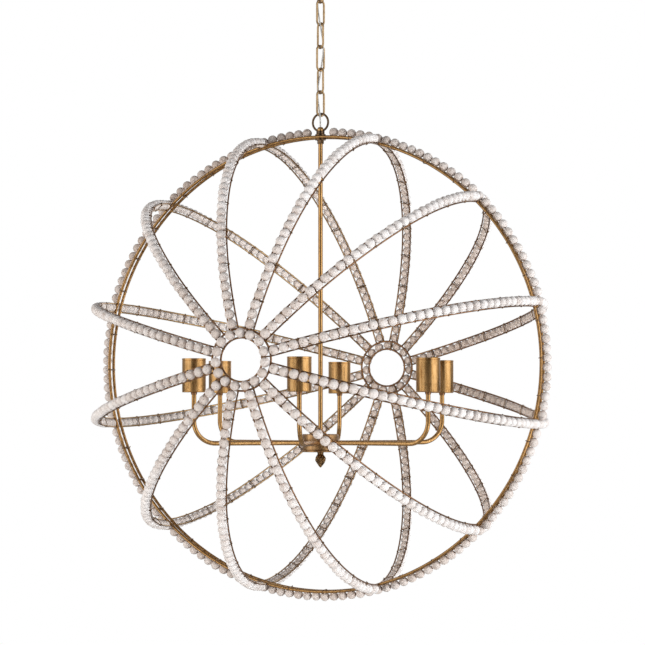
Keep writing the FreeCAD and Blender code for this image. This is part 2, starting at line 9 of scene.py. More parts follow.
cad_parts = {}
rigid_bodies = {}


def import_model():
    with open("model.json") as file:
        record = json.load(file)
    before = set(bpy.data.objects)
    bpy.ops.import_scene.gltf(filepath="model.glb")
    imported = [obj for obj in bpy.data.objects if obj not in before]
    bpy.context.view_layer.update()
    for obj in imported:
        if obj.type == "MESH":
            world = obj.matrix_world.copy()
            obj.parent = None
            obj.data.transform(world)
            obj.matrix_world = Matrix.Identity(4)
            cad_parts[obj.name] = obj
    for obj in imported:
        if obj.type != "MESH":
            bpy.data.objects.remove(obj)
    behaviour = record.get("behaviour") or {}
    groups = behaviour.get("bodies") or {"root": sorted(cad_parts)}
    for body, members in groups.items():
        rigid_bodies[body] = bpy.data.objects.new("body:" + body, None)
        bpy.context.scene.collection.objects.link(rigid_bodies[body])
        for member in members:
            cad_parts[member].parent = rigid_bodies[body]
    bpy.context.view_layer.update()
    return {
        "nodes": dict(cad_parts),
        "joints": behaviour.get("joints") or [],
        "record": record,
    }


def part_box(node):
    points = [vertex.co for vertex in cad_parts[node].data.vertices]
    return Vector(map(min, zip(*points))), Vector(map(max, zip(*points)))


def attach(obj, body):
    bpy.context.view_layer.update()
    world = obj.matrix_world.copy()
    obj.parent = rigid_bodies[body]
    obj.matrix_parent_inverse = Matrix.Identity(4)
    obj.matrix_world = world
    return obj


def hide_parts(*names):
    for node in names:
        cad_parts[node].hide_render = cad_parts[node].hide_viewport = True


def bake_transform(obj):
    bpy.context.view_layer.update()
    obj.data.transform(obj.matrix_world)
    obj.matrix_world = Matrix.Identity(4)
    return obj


# Beaded orb chandelier: whitewashed wooden beads strung on an antique gold wire orb, hung on a chain.
# Metres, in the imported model's own frame: the origin is on the ceiling, +Z up, the hub line along Y.

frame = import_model()

MM = 0.001
SEED = 20
rng = np.random.default_rng(SEED)


def levels(node):
    """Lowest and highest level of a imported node."""
    low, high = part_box(node)
    return low[2], high[2]


# Beads, wires and their spacing
BEAD_R = 8.0 * MM
STRING_R = 0.5 * MM
ORB_R = 406.5 * MM
RIBS = 12
PLACES = 13
RIB_BEADS = 35
RIB_FIRST = radians(2.604)
RIB_LAST = radians(81.616)
RAIL_R = 1.4 * MM
RAIL_SPACING = 15.0 * MM
RIM_WIRE_R = 2.6 * MM
RIM_SPACING = 18.0 * MM
RIM_INSET = 0.2 * MM
HUB_BEADS = 15
HUB_BEAD_GAP = 1.5 * MM
HUB_WIRE_R = 1.5 * MM
HUB_DRAWN_R = 1.7 * MM
HUB_SPACING = 14.5 * MM
HUB_TIES = 5
TIE_EVERY = 4
TIE_R = 0.5 * MM
TIE_SEAT = 0.7 * MM
SEAT_GAP = 0.1 * MM
WASHER_R = 9.3 * MM
HALVES = ((-1, "front"), (1, "rear"))

# Chain, lead and screw loops
LINK_WIRE_R = 1.8 * MM
LINK_HALF_W = 9.25 * MM - LINK_WIRE_R
LINK_DROP = 43.2 * MM
LOOP_WIRE_R = 1.9 * MM
LOOP_RING_R = 15.1 * MM
LOOP_TURN = radians(-10.35)
LOOP_BASE_H = 5.6 * MM
LOOP_BASE_R = 7.25 * MM
LOOP_BORE_R = 2.2 * MM
KNOB_H = 7.0 * MM
LEAD_OFFSET = 4.05 * MM

# Lamp cluster
STEM_R = 4.0 * MM
ARM_R = 4.0 * MM
ARM_BEND_R = 38.0 * MM
CUP_R = 20.3 * MM
CUP_H = 57.5 * MM
CUP_WALL = 1.2 * MM
CUP_FLOOR = 1.6 * MM
HOLDER_R = 17.0 * MM
HOLDER_H = 50.0 * MM
SHELL_R = 13.2 * MM
SHELL_WALL = 0.8 * MM
SHELL_L = 27.0 * MM
SHELL_PITCH = 3.6 * MM
CONTACT_T = 3.0 * MM

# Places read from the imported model
CENTRE = array([0.0, 0.0, sum(levels("front_rim_ring")) / 2])
hooks = [joint["pos_m"][2] for joint in frame["joints"]]
hook_turns = [np.arctan2(joint["axis"][1], joint["axis"][0]) for joint in frame["joints"]]
sockets = array([m["pos_m"] for m in frame["record"]["mounts"] if m["kind"] == "threaded_hole"])
cup_centres = sockets[:, :2]
CUP_CIRCLE_R = float(np.hypot(sockets[0, 0], sockets[0, 1]))
arm_turns = np.arctan2(sockets[:, 1], sockets[:, 0])
CUP_BOTTOM = levels("socket_cups")[0]
ARM_LEVEL = levels("lamp_arms")[0] + ARM_R
TOP_LOOP_FOOT = levels("top_loop")[0]
CANOPY_LOOP_FOOT = levels("canopy_loop")[1]
CANOPY_DEPTH = -levels("canopy")[0]
drum_low, drum_high = levels("drum_body")
cover_low, cover_high = levels("drum_cover")
finial_low, finial_high = levels("finial")


def nest(wire_r, spacing):
    """Height of a bead's centre over two wires: the upright side of the triangle bead, wire, middle."""
    return sqrt((BEAD_R + wire_r + SEAT_GAP) ** 2 - (spacing / 2) ** 2)


BEAD_CIRCLE_R = ORB_R - BEAD_R
RAIL_CIRCLE_R = BEAD_CIRCLE_R - nest(RAIL_R, RAIL_SPACING)
RIM_CIRCLE_R = RAIL_CIRCLE_R - RIM_INSET
RIM_BEAD_CIRCLE_R = RIM_CIRCLE_R + TIE_SEAT + BEAD_R
SECTOR = 2 * pi / RIBS
BEAD_STEP = SECTOR / PLACES
HUB_BEAD_CIRCLE_R = (2 * BEAD_R + HUB_BEAD_GAP) / (2 * sin(pi / HUB_BEADS))
HUB_INNER_R = HUB_BEAD_CIRCLE_R - HUB_SPACING / 2
HUB_OUTER_R = HUB_BEAD_CIRCLE_R + HUB_SPACING / 2
HUB_Y = sqrt(RAIL_CIRCLE_R ** 2 - HUB_OUTER_R ** 2)
HUB_BEAD_Y = HUB_Y + nest(HUB_WIRE_R, HUB_SPACING)
rib_turns = SECTOR / 2 + SECTOR * np.arange(RIBS)
rib_pairs = rib_turns.reshape(2, RIBS // 2).T


# Surfaces as whole arrays
ON_AXIS = np.zeros((1, 2))
MOST_EASED = 0.45
WELD_WITHIN = 1e-7
EDGE = 35


def round_steps(count):
    """Even turns round a full circle."""
    return 2 * pi * np.arange(count) / count


def crossed(*lists):
    """All combinations of several lists, as columns."""
    return (a.ravel()[:, None] for a in np.meshgrid(*lists, indexing="ij"))


def unit(vectors):
    """Vectors scaled to length one."""
    return vectors / np.linalg.norm(vectors, axis=-1, keepdims=True)


def skin(count, rows, columns, close_rows=False):
    """Corner numbers of the quads on grids of rows by columns points, each row being a closed ring."""
    i, j = np.meshgrid(np.arange(rows if close_rows else rows - 1), np.arange(columns), indexing="ij")
    up, on = (i + 1) % rows, (j + 1) % columns
    quads = stack([i * columns + j, i * columns + on, up * columns + on, up * columns + j], -1)
    return (quads.reshape(1, -1, 4) + np.arange(count)[:, None, None] * rows * columns).reshape(-1, 4)


def end_caps(count, rows, columns):
    """Corner numbers of the faces that close the first and the last ring of each grid."""
    ring = np.arange(columns)
    grid_start = np.arange(count)[:, None] * rows * columns
    return concatenate([ring[::-1] + grid_start, ring + (rows - 1) * columns + grid_start])


def ball(rings, turns):
    """Unit ball at the polar angles p of its rings and the turns t: (sin p cos t, sin p sin t, cos p)."""
    p = rings[None, :, None]
    return stack(np.broadcast_arrays(sin(p) * cos(turns), sin(p) * sin(turns), cos(p)), -1)


def wires(paths, radius, sideways, sides, closed=False):
    """Round wires: the circle radius*(cos t, sin t), carried square to each path along its points.
    paths is wires by points by 3, and sideways is never along the path."""
    if closed:
        along = unit(np.roll(paths, -1, 1) - np.roll(paths, 1, 1))
    else:
        along = unit(np.gradient(paths, axis=1))
    side = unit(sideways - along * np.sum(sideways * along, -1, keepdims=True))
    up = np.cross(along, side)
    t = round_steps(sides)[:, None]
    ring = cos(t) * side[:, :, None] + sin(t) * up[:, :, None]
    radius = np.broadcast_to(radius, paths.shape[:2])[:, :, None, None]
    points = paths[:, :, None] + radius * ring
    count, rows = paths.shape[:2]
    faces = [skin(count, rows, sides, closed)]
    if not closed:
        faces.append(end_caps(count, rows, sides))
    return points.reshape(-1, 3), faces


def turned(outline, sides, centres=ON_AXIS, closed=True, shape=None):
    """Surface of revolution: the outline's point (r, z) at the turn t is (x + r cos t, y + r sin t, z).
    The outline runs with its solid on the left. shape may change r by its level and turn."""
    t = round_steps(sides)
    r = np.repeat(outline[:, :1], sides, 1)
    if shape is not None:
        r = shape(r, outline[:, 1:], t[None, :])
    ring = stack([r * cos(t), r * sin(t), np.repeat(outline[:, 1:], sides, 1)], -1)
    points = ring + np.pad(centres, ((0, 0), (0, 1)))[:, None, None]
    return points.reshape(-1, 3), [skin(len(centres), len(outline), sides, closed)]


def in_mm(rows, r=0.0, z=0.0):
    """Outline from rows of radius and level in millimetres, moved by r and z."""
    return array(rows) * MM + (r, z)


def eased(outline, cut, steps=4, closed=True):
    """Outline with each corner c replaced by the curve (1-s)^2 a + 2s(1-s) c + s^2 b, where a and b lie
    on the corner's two sides."""
    corner = np.asarray(outline, float)
    into, out = np.roll(corner, 1, 0) - corner, np.roll(corner, -1, 0) - corner
    a, b = (
        corner + way * np.minimum(cut / np.linalg.norm(way, axis=1, keepdims=True), MOST_EASED)
        for way in (into, out)
    )
    s = linspace(0, 1, steps)[None, :, None]
    curve = (1 - s) ** 2 * a[:, None] + 2 * s * (1 - s) * corner[:, None] + s ** 2 * b[:, None]
    if closed:
        return curve.reshape(-1, 2)
    return concatenate([corner[:1], curve[1:-1].reshape(-1, 2), corner[-1:]])


def flat_ring(inner_r, outer_r, bottom, top, cut=0.4 * MM):
    """Outline of a ring with eased edges."""
    return eased([(inner_r, bottom), (outer_r, bottom), (outer_r, top), (inner_r, top)], cut)


def joined(*shapes):
    """Several surfaces as one, with their corner numbers moved on."""
    points, faces, start = [], [], 0
    for some_points, some_faces in shapes:
        points.append(some_points)
        faces += [f + start for f in some_faces]
        start += len(some_points)
    return concatenate(points), faces


def about_z(points, turn, level):
    """Points turned about the upright axis by an angle, then raised to a level."""
    s, c = sin(turn), cos(turn)
    return points @ array([[c, s, 0], [-s, c, 0], [0, 0, 1]]) + (0, 0, level)


scene = bpy.context.scene


def new_object(name, data):
    """Object in the scene."""
    made = bpy.data.objects.new(name, data)
    scene.collection.objects.link(made)
    return made


def put(name, shape, material, nodes=(), body="orb", sharp=None, marks=None):
    """One piece from a surface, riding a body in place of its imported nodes. Edges that turn by more than
    sharp degrees are drawn sharp, and marks are values that its points carry."""
    points, faces = shape
    mesh = bpy.data.meshes.new(name)
    mesh.from_pydata(points.tolist(), [], [face for some in faces for face in some.tolist()])
    for key, values in (marks or {}).items():
        kind, field = ("FLOAT_VECTOR", "vector") if values.ndim == 2 else ("FLOAT", "value")
        mesh.attributes.new(key, kind, "POINT").data.foreach_set(field, values.ravel())
    if not marks:
        welded = bmesh.new()
        welded.from_mesh(mesh)
        bmesh.ops.remove_doubles(welded, verts=welded.verts, dist=WELD_WITHIN)
        welded.to_mesh(mesh)
        welded.free()
    mesh.polygons.foreach_set("use_smooth", np.ones(len(mesh.polygons), bool))
    if sharp is not None:
        mesh.set_sharp_from_angle(angle=radians(sharp))
    mesh.materials.append(material)
    piece = new_object(name, mesh)
    if body is not None:
        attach(piece, body)
    if nodes:
        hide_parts(*nodes)
    return piece


# Shader nodes

def feed(made, values):
    """Inputs of a shader node, set to values or linked to sockets."""
    for key, value in values.items():
        if isinstance(value, bpy.types.NodeSocket):
            made.id_data.links.new(value, made.inputs[key])
        else:
            made.inputs[key].default_value = value


def add(kind, values, tree=None, **settings):
    """A shader node with its inputs and settings, in a tree or else in that of a socket it is linked to."""
    tree = tree or next(v.id_data for v in values.values() if isinstance(v, bpy.types.NodeSocket))
    made = tree.nodes.new(f"ShaderNode{kind}")
    for key, value in settings.items():
        setattr(made, key, value)
    feed(made, values)
    return made


def math_node(operation, first, second):
    return add("Math", {0: first, 1: second}, operation=operation).outputs[0]


def plus(first, second):
    return math_node("ADD", first, second)


def times(first, second):
    return math_node("MULTIPLY", first, second)


def blend_colour(share, first, second):
    """First colour with a share of the second over it. Each is a socket or three numbers."""
    first, second = (c if isinstance(c, bpy.types.NodeSocket) else (*c, 1.0) for c in (first, second))
    return add("Mix", {0: share, 6: first, 7: second}, data_type="RGBA").outputs[2]


def span(value, low, high, to_low=0.0, to_high=1.0):
    """Value between low and high, moved smoothly to another span."""
    made = add("MapRange", {0: value, 1: low, 2: high, 3: to_low, 4: to_high},
               interpolation_type="SMOOTHSTEP")
    return made.outputs[0]


def noise(vector, scale, detail=3.0, rough=0.55):
    values = {"Vector": vector, "Scale": scale, "Detail": detail, "Roughness": rough}
    return add("TexNoise", values).outputs["Fac"]


def stretched(vector, scales):
    return add("VectorMath", {0: vector, 1: scales}, operation="MULTIPLY").outputs[0]


def carried(shader, name, output="Fac"):
    """Value that the mesh carries at its points."""
    return add("Attribute", {}, shader.id_data, attribute_name=name).outputs[output]


def relief(height, strength, depth):
    """Normals of a bumpy surface."""
    return add("Bump", {"Height": height, "Strength": strength, "Distance": depth}).outputs[0]


def group(name, inputs, outputs):
    """Empty shader group with named sockets: its tree, its inputs and its output node."""
    tree = bpy.data.node_groups.new(name, "ShaderNodeTree")
    for way, sockets_wanted in (("INPUT", inputs), ("OUTPUT", outputs)):
        for key, kind in sockets_wanted.items():
            tree.interface.new_socket(key, in_out=way, socket_type=f"NodeSocket{kind}")
    return tree, tree.nodes.new("NodeGroupInput").outputs, tree.nodes.new("NodeGroupOutput")


def make_patina():
    """Cloudy dark patina: broad clouds with finer ones over them, pushed apart, and a fine speckle."""
    tree, given, result = group("patina", {"Vector": "Vector", "Scale": "Float", "Cover": "Float"},
                                {"Mask": "Float", "Speckle": "Float"})
    place_on, scale = given["Vector"], given["Scale"]
    broad = noise(place_on, scale, detail=5.0, rough=0.62)
    fine = noise(place_on, times(scale, 6.0), detail=3.0, rough=0.6)
    both = plus(times(broad, 0.75), times(fine, 0.25))
    level = math_node("SUBTRACT", 1.0, given["Cover"])
    half_edge = 0.14
    mask = span(both, math_node("SUBTRACT", level, half_edge), plus(level, half_edge))
    grain = noise(place_on, times(scale, 22.0), detail=2.0, rough=0.6)
    feed(result, {"Mask": mask, "Speckle": grain})
    return tree


def make_brushing():
    """Fine brushed lines: the height of a noise drawn out along one direction."""
    tree, given, result = group("brushing", {"Vector": "Vector", "Stretch": "Vector"}, {"Height": "Float"})
    drawn = stretched(given["Vector"], given["Stretch"])
    feed(result, {"Height": noise(drawn, 1.0, detail=4.0, rough=0.7)})
    return tree


PATINA = make_patina()
BRUSHING = make_brushing()
FINE_RELIEF = 0.1
FINE_DEPTH = 0.3 * MM
LACQUER_ROUGH = 0.3
# Painted light: brighter gold on the rails' side that faces the orb's centre
PAINTED_LIGHT_GOLD = (0.66, 0.44, 0.20)
UPRIGHT = (420.0, 420.0, 34.0)
ALL_WAYS = (300.0, 300.0, 300.0)


def new_material(name):
    """Material with a principled shader and the piece's own coordinates."""
    made = bpy.data.materials.new(name)
    made.use_nodes = True
    tree = made.node_tree
    tree.nodes.clear()
    shader = add("BsdfPrincipled", {}, tree)
    add("OutputMaterial", {0: shader.outputs[0]})
    return made, shader, add("TexCoord", {}, tree).outputs["Object"]


def antique_metal(name, bright, base, dark, cover, scale, smooth, rough, depth, coat, stretch=ALL_WAYS,
                  inner=None):
    """Aged satin metal: base gold with finely brushed bright lines, under soft clouds of brown that are
    duller, and a thin lacquer over all. A given inner colour is painted light on the side that faces the
    orb's centre, fading out towards the orb's right, where that side is in shade."""
    made, shader, place_on = new_material(name)
    clouds = add("Group", {"Vector": place_on, "Scale": scale, "Cover": cover}, node_tree=PATINA).outputs
    lines = add("Group", {"Vector": place_on, "Stretch": stretch}, node_tree=BRUSHING).outputs[0]
    colour = blend_colour(span(lines, 0.34, 0.68), base, bright)
    colour = blend_colour(times(clouds["Mask"], depth), colour, dark)
    if inner is not None:
        # Painted light: the inner colour brightens the side facing the orb's centre
        kept = span(carried(shader, "painted_inner_shading"), 0.1, 0.8, 0.0, 0.85)
        colour = blend_colour(kept, colour, inner)
    flecks = span(clouds["Speckle"], 0.64, 0.78, 0.0, 0.5 * depth)
    dull = span(clouds["Mask"], 0.0, 1.0, smooth, rough)
    height = plus(lines, times(clouds["Speckle"], 0.4))
    feed(shader, {
        "Base Color": blend_colour(flecks, colour, dark),
        "Roughness": plus(dull, span(lines, 0.3, 0.8, -0.04, 0.05)),
        "Metallic": 1.0,
        "Coat Weight": coat,
        "Coat Roughness": LACQUER_ROUGH,
        "Normal": relief(height, FINE_RELIEF, FINE_DEPTH),
    })
    return made


LIMEWASH = (0.865, 0.848, 0.847)
WORN_WOOD = (0.60, 0.515, 0.47)
GREY_WOOD = (0.58, 0.50, 0.45)
# Painted shade: tan on the beads' side that faces the orb's centre
PAINTED_SHADE_TAN = (0.80, 0.63, 0.51)
CRACK_BROWN = (0.19, 0.13, 0.10)
# Part real stain and part painted crevice shade round the holes, and painted shade in the holes
STAIN_AND_SHADE_BROWN = (0.38, 0.25, 0.18)
HOLE_SHADE_BROWN = (0.10, 0.065, 0.045)
GRAIN_STRETCH = (5.0, 5.0, 1.1)


def whitewashed_wood():
    """Limewashed beads: streaks of pale wash along the grain over grey wood, with brown specks and cracks.
    Painted shade: a tan tint on the side that faces the orb's centre, and brown round the holes, part real
    stain and part painted crevice shade where beads touch, with the holes themselves painted dark as shade."""
    made, shader, _ = new_material("whitewashed_wood")
    grain = carried(shader, "grain", "Vector")
    tone, hole, painted_inner_shading = (carried(shader, key) for key in ("tone", "hole", "painted_inner_shading"))
    streaks = noise(stretched(grain, GRAIN_STRETCH), 1.0, detail=5.0, rough=0.65)
    patches = noise(grain, 1.3, detail=3.0, rough=0.6)
    specks = noise(grain, 3.1, detail=2.0, rough=0.5)
    mottle = plus(times(streaks, 0.6), times(patches, 0.4))
    capped_tone = math_node("MINIMUM", tone, 1.0)
    cracks = plus(specks, times(capped_tone, 0.115))
    colour = LIMEWASH
    for share, over in (
        (times(span(mottle, 0.46, 0.66), span(capped_tone, 0.0, 1.0, 0.5, 1.0)), WORN_WOOD),
        (times(tone, 0.34), GREY_WOOD),
        # Painted shade: a tan tint on the bead's side facing the orb's centre, more towards the orb's right
        (span(painted_inner_shading, 0.1, 0.8, 0.0, 0.45), PAINTED_SHADE_TAN),
        (span(cracks, 0.70, 0.82, 0.0, 0.8), CRACK_BROWN),
        # Round the holes, where beads touch: part real stain, part painted crevice shade
        (times(span(hole, 0.05, 0.9), span(tone, 0.2, 1.2, 0.12, 0.38)), STAIN_AND_SHADE_BROWN),
        # Painted shade: the holes dark, as recesses in shade
        (span(hole, 0.8, 1.0), HOLE_SHADE_BROWN),
    ):
        colour = blend_colour(share, colour, over)
    height = math_node("SUBTRACT", streaks, times(specks, 0.5))
    feed(shader, {
        "Base Color": colour,
        "Roughness": span(streaks, 0.3, 0.7, 0.62, 0.85),
        "Specular IOR Level": 0.35,
        "Normal": relief(height, 0.25, 0.5 * MM),
    })
    return made


def plain_finish(name, first, second, scale, smooth, rough, metallic=0.0, coat=0.0):
    """Even finish with soft clouds of a second shade and a roughness that follows their speckle."""
    made, shader, place_on = new_material(name)
    clouds = add("Group", {"Vector": place_on, "Scale": scale, "Cover": 0.5}, node_tree=PATINA).outputs
    feed(shader, {
        "Base Color": blend_colour(clouds["Mask"], first, second),
        "Roughness": span(clouds["Speckle"], 0.3, 0.7, smooth, rough),
        "Metallic": metallic,
        "Coat Weight": coat,
        "Normal": relief(clouds["Speckle"], FINE_RELIEF, FINE_DEPTH),
    })
    return made


# Metals: bright lines, base and dark clouds, the clouds' cover and scale, the roughness of bright and of
# dark places, the clouds' depth, the lacquer, how the lines are drawn, and for the rails a brighter gold
# painted as light on their side facing the orb's centre
METALS = (
    ("antique_gold", (0.68, 0.41, 0.17), (0.48, 0.26, 0.086), (0.21, 0.098, 0.029),
     0.4, 30, 0.28, 0.4, 0.5, 0.2, UPRIGHT),
    ("drum_gold", (0.72, 0.44, 0.2), (0.46, 0.26, 0.105), (0.12, 0.055, 0.021),
     0.52, 60, 0.32, 0.52, 0.8, 0.4, UPRIGHT),
    ("rim_gold", (0.54, 0.315, 0.12), (0.35, 0.182, 0.06), (0.085, 0.036, 0.013),
     0.4, 40, 0.22, 0.34, 0.7, 0.3),
    ("rail_brown", (0.4, 0.205, 0.092), (0.2, 0.095, 0.04), (0.045, 0.02, 0.009),
     0.36, 40, 0.22, 0.34, 0.6, 0.5, ALL_WAYS, PAINTED_LIGHT_GOLD),
    ("chain_bronze", (0.6, 0.41, 0.21), (0.37, 0.235, 0.105), (0.1, 0.055, 0.025),
     0.36, 60, 0.16, 0.28, 0.7, 0.6),
    ("dark_bronze", (0.24, 0.145, 0.066), (0.11, 0.06, 0.028), (0.035, 0.019, 0.01),
     0.45, 120, 0.22, 0.42, 0.8, 0.4),
    ("bud_gold", (0.74, 0.45, 0.18), (0.32, 0.165, 0.055), (0.03, 0.014, 0.006),
     0.54, 150, 0.18, 0.36, 0.85, 0.4),
    ("tie_brown", (0.42, 0.265, 0.14), (0.25, 0.145, 0.072), (0.075, 0.04, 0.022),
     0.42, 200, 0.3, 0.45, 0.7, 0.4),
)
antique_gold, drum_gold, rim_gold, rail_brown, chain_bronze, dark_bronze, bud_gold, tie_brown = (
    antique_metal(*row) for row in METALS)
bead_wood = whitewashed_wood()

# Other finishes: two shades, the clouds' scale, least and most roughness, metal, lacquer
FINISHES = (
    ("lead_silver", (0.58, 0.57, 0.545), (0.4, 0.385, 0.36), 300, 0.18, 0.36, 0.35, 0.5),
    ("porcelain", (0.86, 0.85, 0.81), (0.8, 0.785, 0.74), 70, 0.12, 0.24, 0.0, 0.5),
    ("shell_brass", (0.83, 0.62, 0.29), (0.7, 0.49, 0.2), 120, 0.22, 0.38, 1.0),
    ("zinc_steel", (0.6, 0.61, 0.6), (0.47, 0.48, 0.49), 150, 0.3, 0.5, 1.0),
    ("ground_green", (0.05, 0.24, 0.08), (0.03, 0.16, 0.06), 150, 0.3, 0.5),
    ("wire_jacket", (0.03, 0.03, 0.032), (0.05, 0.05, 0.05), 200, 0.4, 0.6),
)
lead_silver, porcelain, shell_brass, zinc_steel, ground_green, wire_jacket = (
    plain_finish(*row) for row in FINISHES)

# Places on ribs and rings
RIGHT_SPREAD = 1.2 * ORB_R
ALONG_HUBS = (0.0, 1.0, 0.0)


def rib_vector(turn, out, along, across):
    """Vector out of the hub line at a rib's turn from the top, along the hub line, and across the rib."""
    turn, out, along, across = np.broadcast_arrays(turn, out, along, across)
    s, c = sin(turn), cos(turn)
    return stack([s * out - c * across, along, c * out + s * across], -1)


def ring_vector(turn, out, along):
    """Vector out of the hub line at a turn from the top towards +X, and along the hub line."""
    turn, out, along = np.broadcast_arrays(turn, out, along)
    return stack([sin(turn) * out, along, cos(turn) * out], -1)


def right_share(points):
    """Share from 0 on the orb's left side to 1 on its right, for the painted shading on the side facing the
    orb's centre.
    """
    return clip(0.5 + points[..., 0] / RIGHT_SPREAD, 0, 1)


def off_the_stem(turns, room):
    """Those turns on the rim that leave room beside the clamp's washers."""
    off_top = np.minimum(turns, 2 * pi - turns)
    return turns[(off_top > 1.0) | (RIM_BEAD_CIRCLE_R * sin(off_top) > WASHER_R + room)]


half_rib = linspace(RIB_FIRST, RIB_LAST, RIB_BEADS)
rib_angles = concatenate([-half_rib[::-1], half_rib])

# Beads
BEAD_SIDES = 12
BEAD_RINGS = radians([169.9, 150.0, 120.0, 90.0, 60.0, 30.0, 10.1])
BEAD_FIT = 1.012
BEAD_SPREAD = 0.022
BEAD_PLAY = 0.5 * MM * array([0.6, 1.0, 0.5])
WOOD_REACH = 40
TONE_CURVE = 1.5
HOLE_FROM = 0.7
HOLE_SPAN = 0.28
# Painted shade on the beads' side facing the orb's centre: its least share, and what the right side adds
INNER_SHADE_LEAST = 0.55
INNER_SHADE_GAIN = 0.45
# Beads greyer and darker towards the hubs, and all round the rim
HUB_DARKENING = 1.3
HUB_DARKENING_FROM = 0.75
HUB_DARKENING_SPAN = 0.2
RIM_DARKENING = 0.7
# Painted shade: rim beads darker at the upper left, where the top of the orb gets less light
RIM_TOP_SHADE = 1.5
RIM_TOP_TURN = radians(30.0)
RIM_LOW_DARKENING = 0.8
RIM_DRAWN_IN = 0.4
RIM_BULGE = 2.4


def beads(centres, strings, outs, darkening):
    """Beads on their strings: at the polar angle p from the string and the turn t round it, the point is
    string cos p + (out cos t + side sin t) sin p, times a radius that differs a little in each direction.
    Each bead carries its place in the wood, its tone with its darkening, the edge of its hole, and the
    share of painted shade on its side that faces the orb's centre, more towards the orb's right."""
    count = len(centres)
    phase = rng.uniform(0, 2 * pi, (count, 1, 1))
    unit_ball = ball(BEAD_RINGS, phase + round_steps(BEAD_SIDES))
    sizes = BEAD_FIT * BEAD_R * (1 + BEAD_SPREAD * rng.uniform(-1, 1, (count, 3)))
    shift = BEAD_PLAY * rng.uniform(-1, 1, (count, 3))
    shaped = unit_ball * sizes[:, None, None] + shift[:, None, None]
    frames = stack([outs, np.cross(strings, outs), strings], 1)
    points = np.einsum("nrck,nkx->nrcx", shaped, frames) + centres[:, None, None]
    wood = unit_ball + rng.uniform(-WOOD_REACH, WOOD_REACH, (count, 1, 1, 3))
    tone = rng.uniform(0, 1, (count, 1, 1)) ** TONE_CURVE + darkening[:, None, None]
    # Near the holes: the mask for stain and for painted crevice shade where beads touch
    edge = clip((np.abs(cos(BEAD_RINGS)) - HOLE_FROM) / HOLE_SPAN, 0, 1)[None, :, None]
    # Painted shade on the side facing the orb's centre, more of it towards the orb's right
    painted_inner_shading = clip(-unit_ball[..., 0], 0, 1) * (INNER_SHADE_LEAST + INNER_SHADE_GAIN * right_share(points))
    grid = len(BEAD_RINGS), BEAD_SIDES
    marks = {"grain": wood.reshape(-1, 3)}
    for key, values in (("tone", tone), ("hole", edge), ("painted_inner_shading", painted_inner_shading)):
        marks[key] = np.broadcast_to(values, points.shape[:3]).ravel()
    return (points.reshape(-1, 3), [skin(count, *grid), end_caps(count, *grid)]), marks


def put_beads(name, centres, strings, outs, node, darkening=0.0):
    """A piece of beads, greyer and darker towards the hubs."""
    centres = centres.reshape(-1, 3)
    off_rim = np.abs(centres[:, 1]) / ORB_R
    darkening = darkening + HUB_DARKENING * clip((off_rim - HUB_DARKENING_FROM) / HUB_DARKENING_SPAN, 0, 1)
    shape, marks = beads(centres, strings.reshape(-1, 3), outs.reshape(-1, 3), darkening)
    put(name, shape, bead_wood, [node], marks=marks)


for number, pair in enumerate(rib_pairs[:, :, None], 1):
    out = rib_vector(pair, cos(rib_angles), sin(rib_angles), 0)
    string = rib_vector(pair, -sin(rib_angles), cos(rib_angles), 0)
    put_beads(f"rib_bead_row_{number}", CENTRE + BEAD_CIRCLE_R * out, string, out, f"rib_beads_{number}")

spots = np.sort((rib_turns[0] + BEAD_STEP * np.arange(RIBS * PLACES)) % (2 * pi))
rim_spots = off_the_stem(spots, BEAD_R)


def rim_string_r(turn):
    """Radius of the rim's string: a little drawn in from its circle, and on both sides of the orb bulging out
    above the lower rib of each sector by the cube of the way."""
    down = np.minimum(turn, 2 * pi - turn)
    share = ((down - SECTOR / 2) / SECTOR) % 1.0
    sag = -RIM_DRAWN_IN + np.abs(sin(turn)) * (-RIM_DRAWN_IN + RIM_BULGE * share ** 3)
    return RIM_BEAD_CIRCLE_R + sag * MM


# Rim beads darker all round and more at the bottom; the extra towards the upper left is painted shade
rim_darkening = (RIM_DARKENING + RIM_TOP_SHADE * clip(cos(rim_spots + RIM_TOP_TURN), 0, 1) ** 2
           + RIM_LOW_DARKENING * clip(-cos(rim_spots), 0, 1) ** 2)
centres = CENTRE + ring_vector(rim_spots, rim_string_r(rim_spots), 0.0)
string = ring_vector(rim_spots + pi / 2, 1, 0)
put_beads("rim_bead_row", centres, string, ring_vector(rim_spots, 1, 0), "rim_beads", rim_darkening)

hub_spots = round_steps(HUB_BEADS)
for side, name in HALVES:
    centres = CENTRE + ring_vector(hub_spots, HUB_BEAD_CIRCLE_R, side * HUB_BEAD_Y)
    string = ring_vector(hub_spots + pi / 2, 1, 0)
    out = np.tile([0, side, 0], (HUB_BEADS, 1))
    put_beads(f"{name}_hub_bead_ring", centres, string, out, f"{name}_hub_beads")

# Rails, rim and hub rings
RAIL_POINTS = 44
WAVER_LEAST = 0.1
WAVER_MOST = 0.3
WAVES = (3, 5)
LIFT = 0.2 * MM
LIFT_WAVES = 4
PHASES = 6.3
DROP_R = 1.9 * MM
DROP_SPREAD = 0.18
DROP_RINGS = radians([172.0, 135.0, 90.0, 45.0, 8.0])
DROP_SIDES = 8
WELD_REACH = 0.6 * MM
rail_rim_angle = np.arcsin((RIM_SPACING / 2 + RIM_WIRE_R - WELD_REACH) / RAIL_CIRCLE_R)
rail_hub_rho = sqrt((HUB_OUTER_R + HUB_WIRE_R - WELD_REACH) ** 2 - (RAIL_SPACING / 2 - RAIL_R) ** 2)
rail_hub_angle = np.arccos(rail_hub_rho / RAIL_CIRCLE_R)


def weld_drops(centres):
    """Small drops of braze: balls drawn a little out of round, each with its own size."""
    count = len(centres)
    sizes = DROP_R * (1 + DROP_SPREAD * rng.uniform(-1, 1, (count, 1, 1, 3)))
    points = ball(DROP_RINGS, round_steps(DROP_SIDES)) * sizes + centres[:, None, None]
    grid = len(DROP_RINGS), DROP_SIDES
    return points.reshape(-1, 3), [skin(count, *grid), end_caps(count, *grid)]


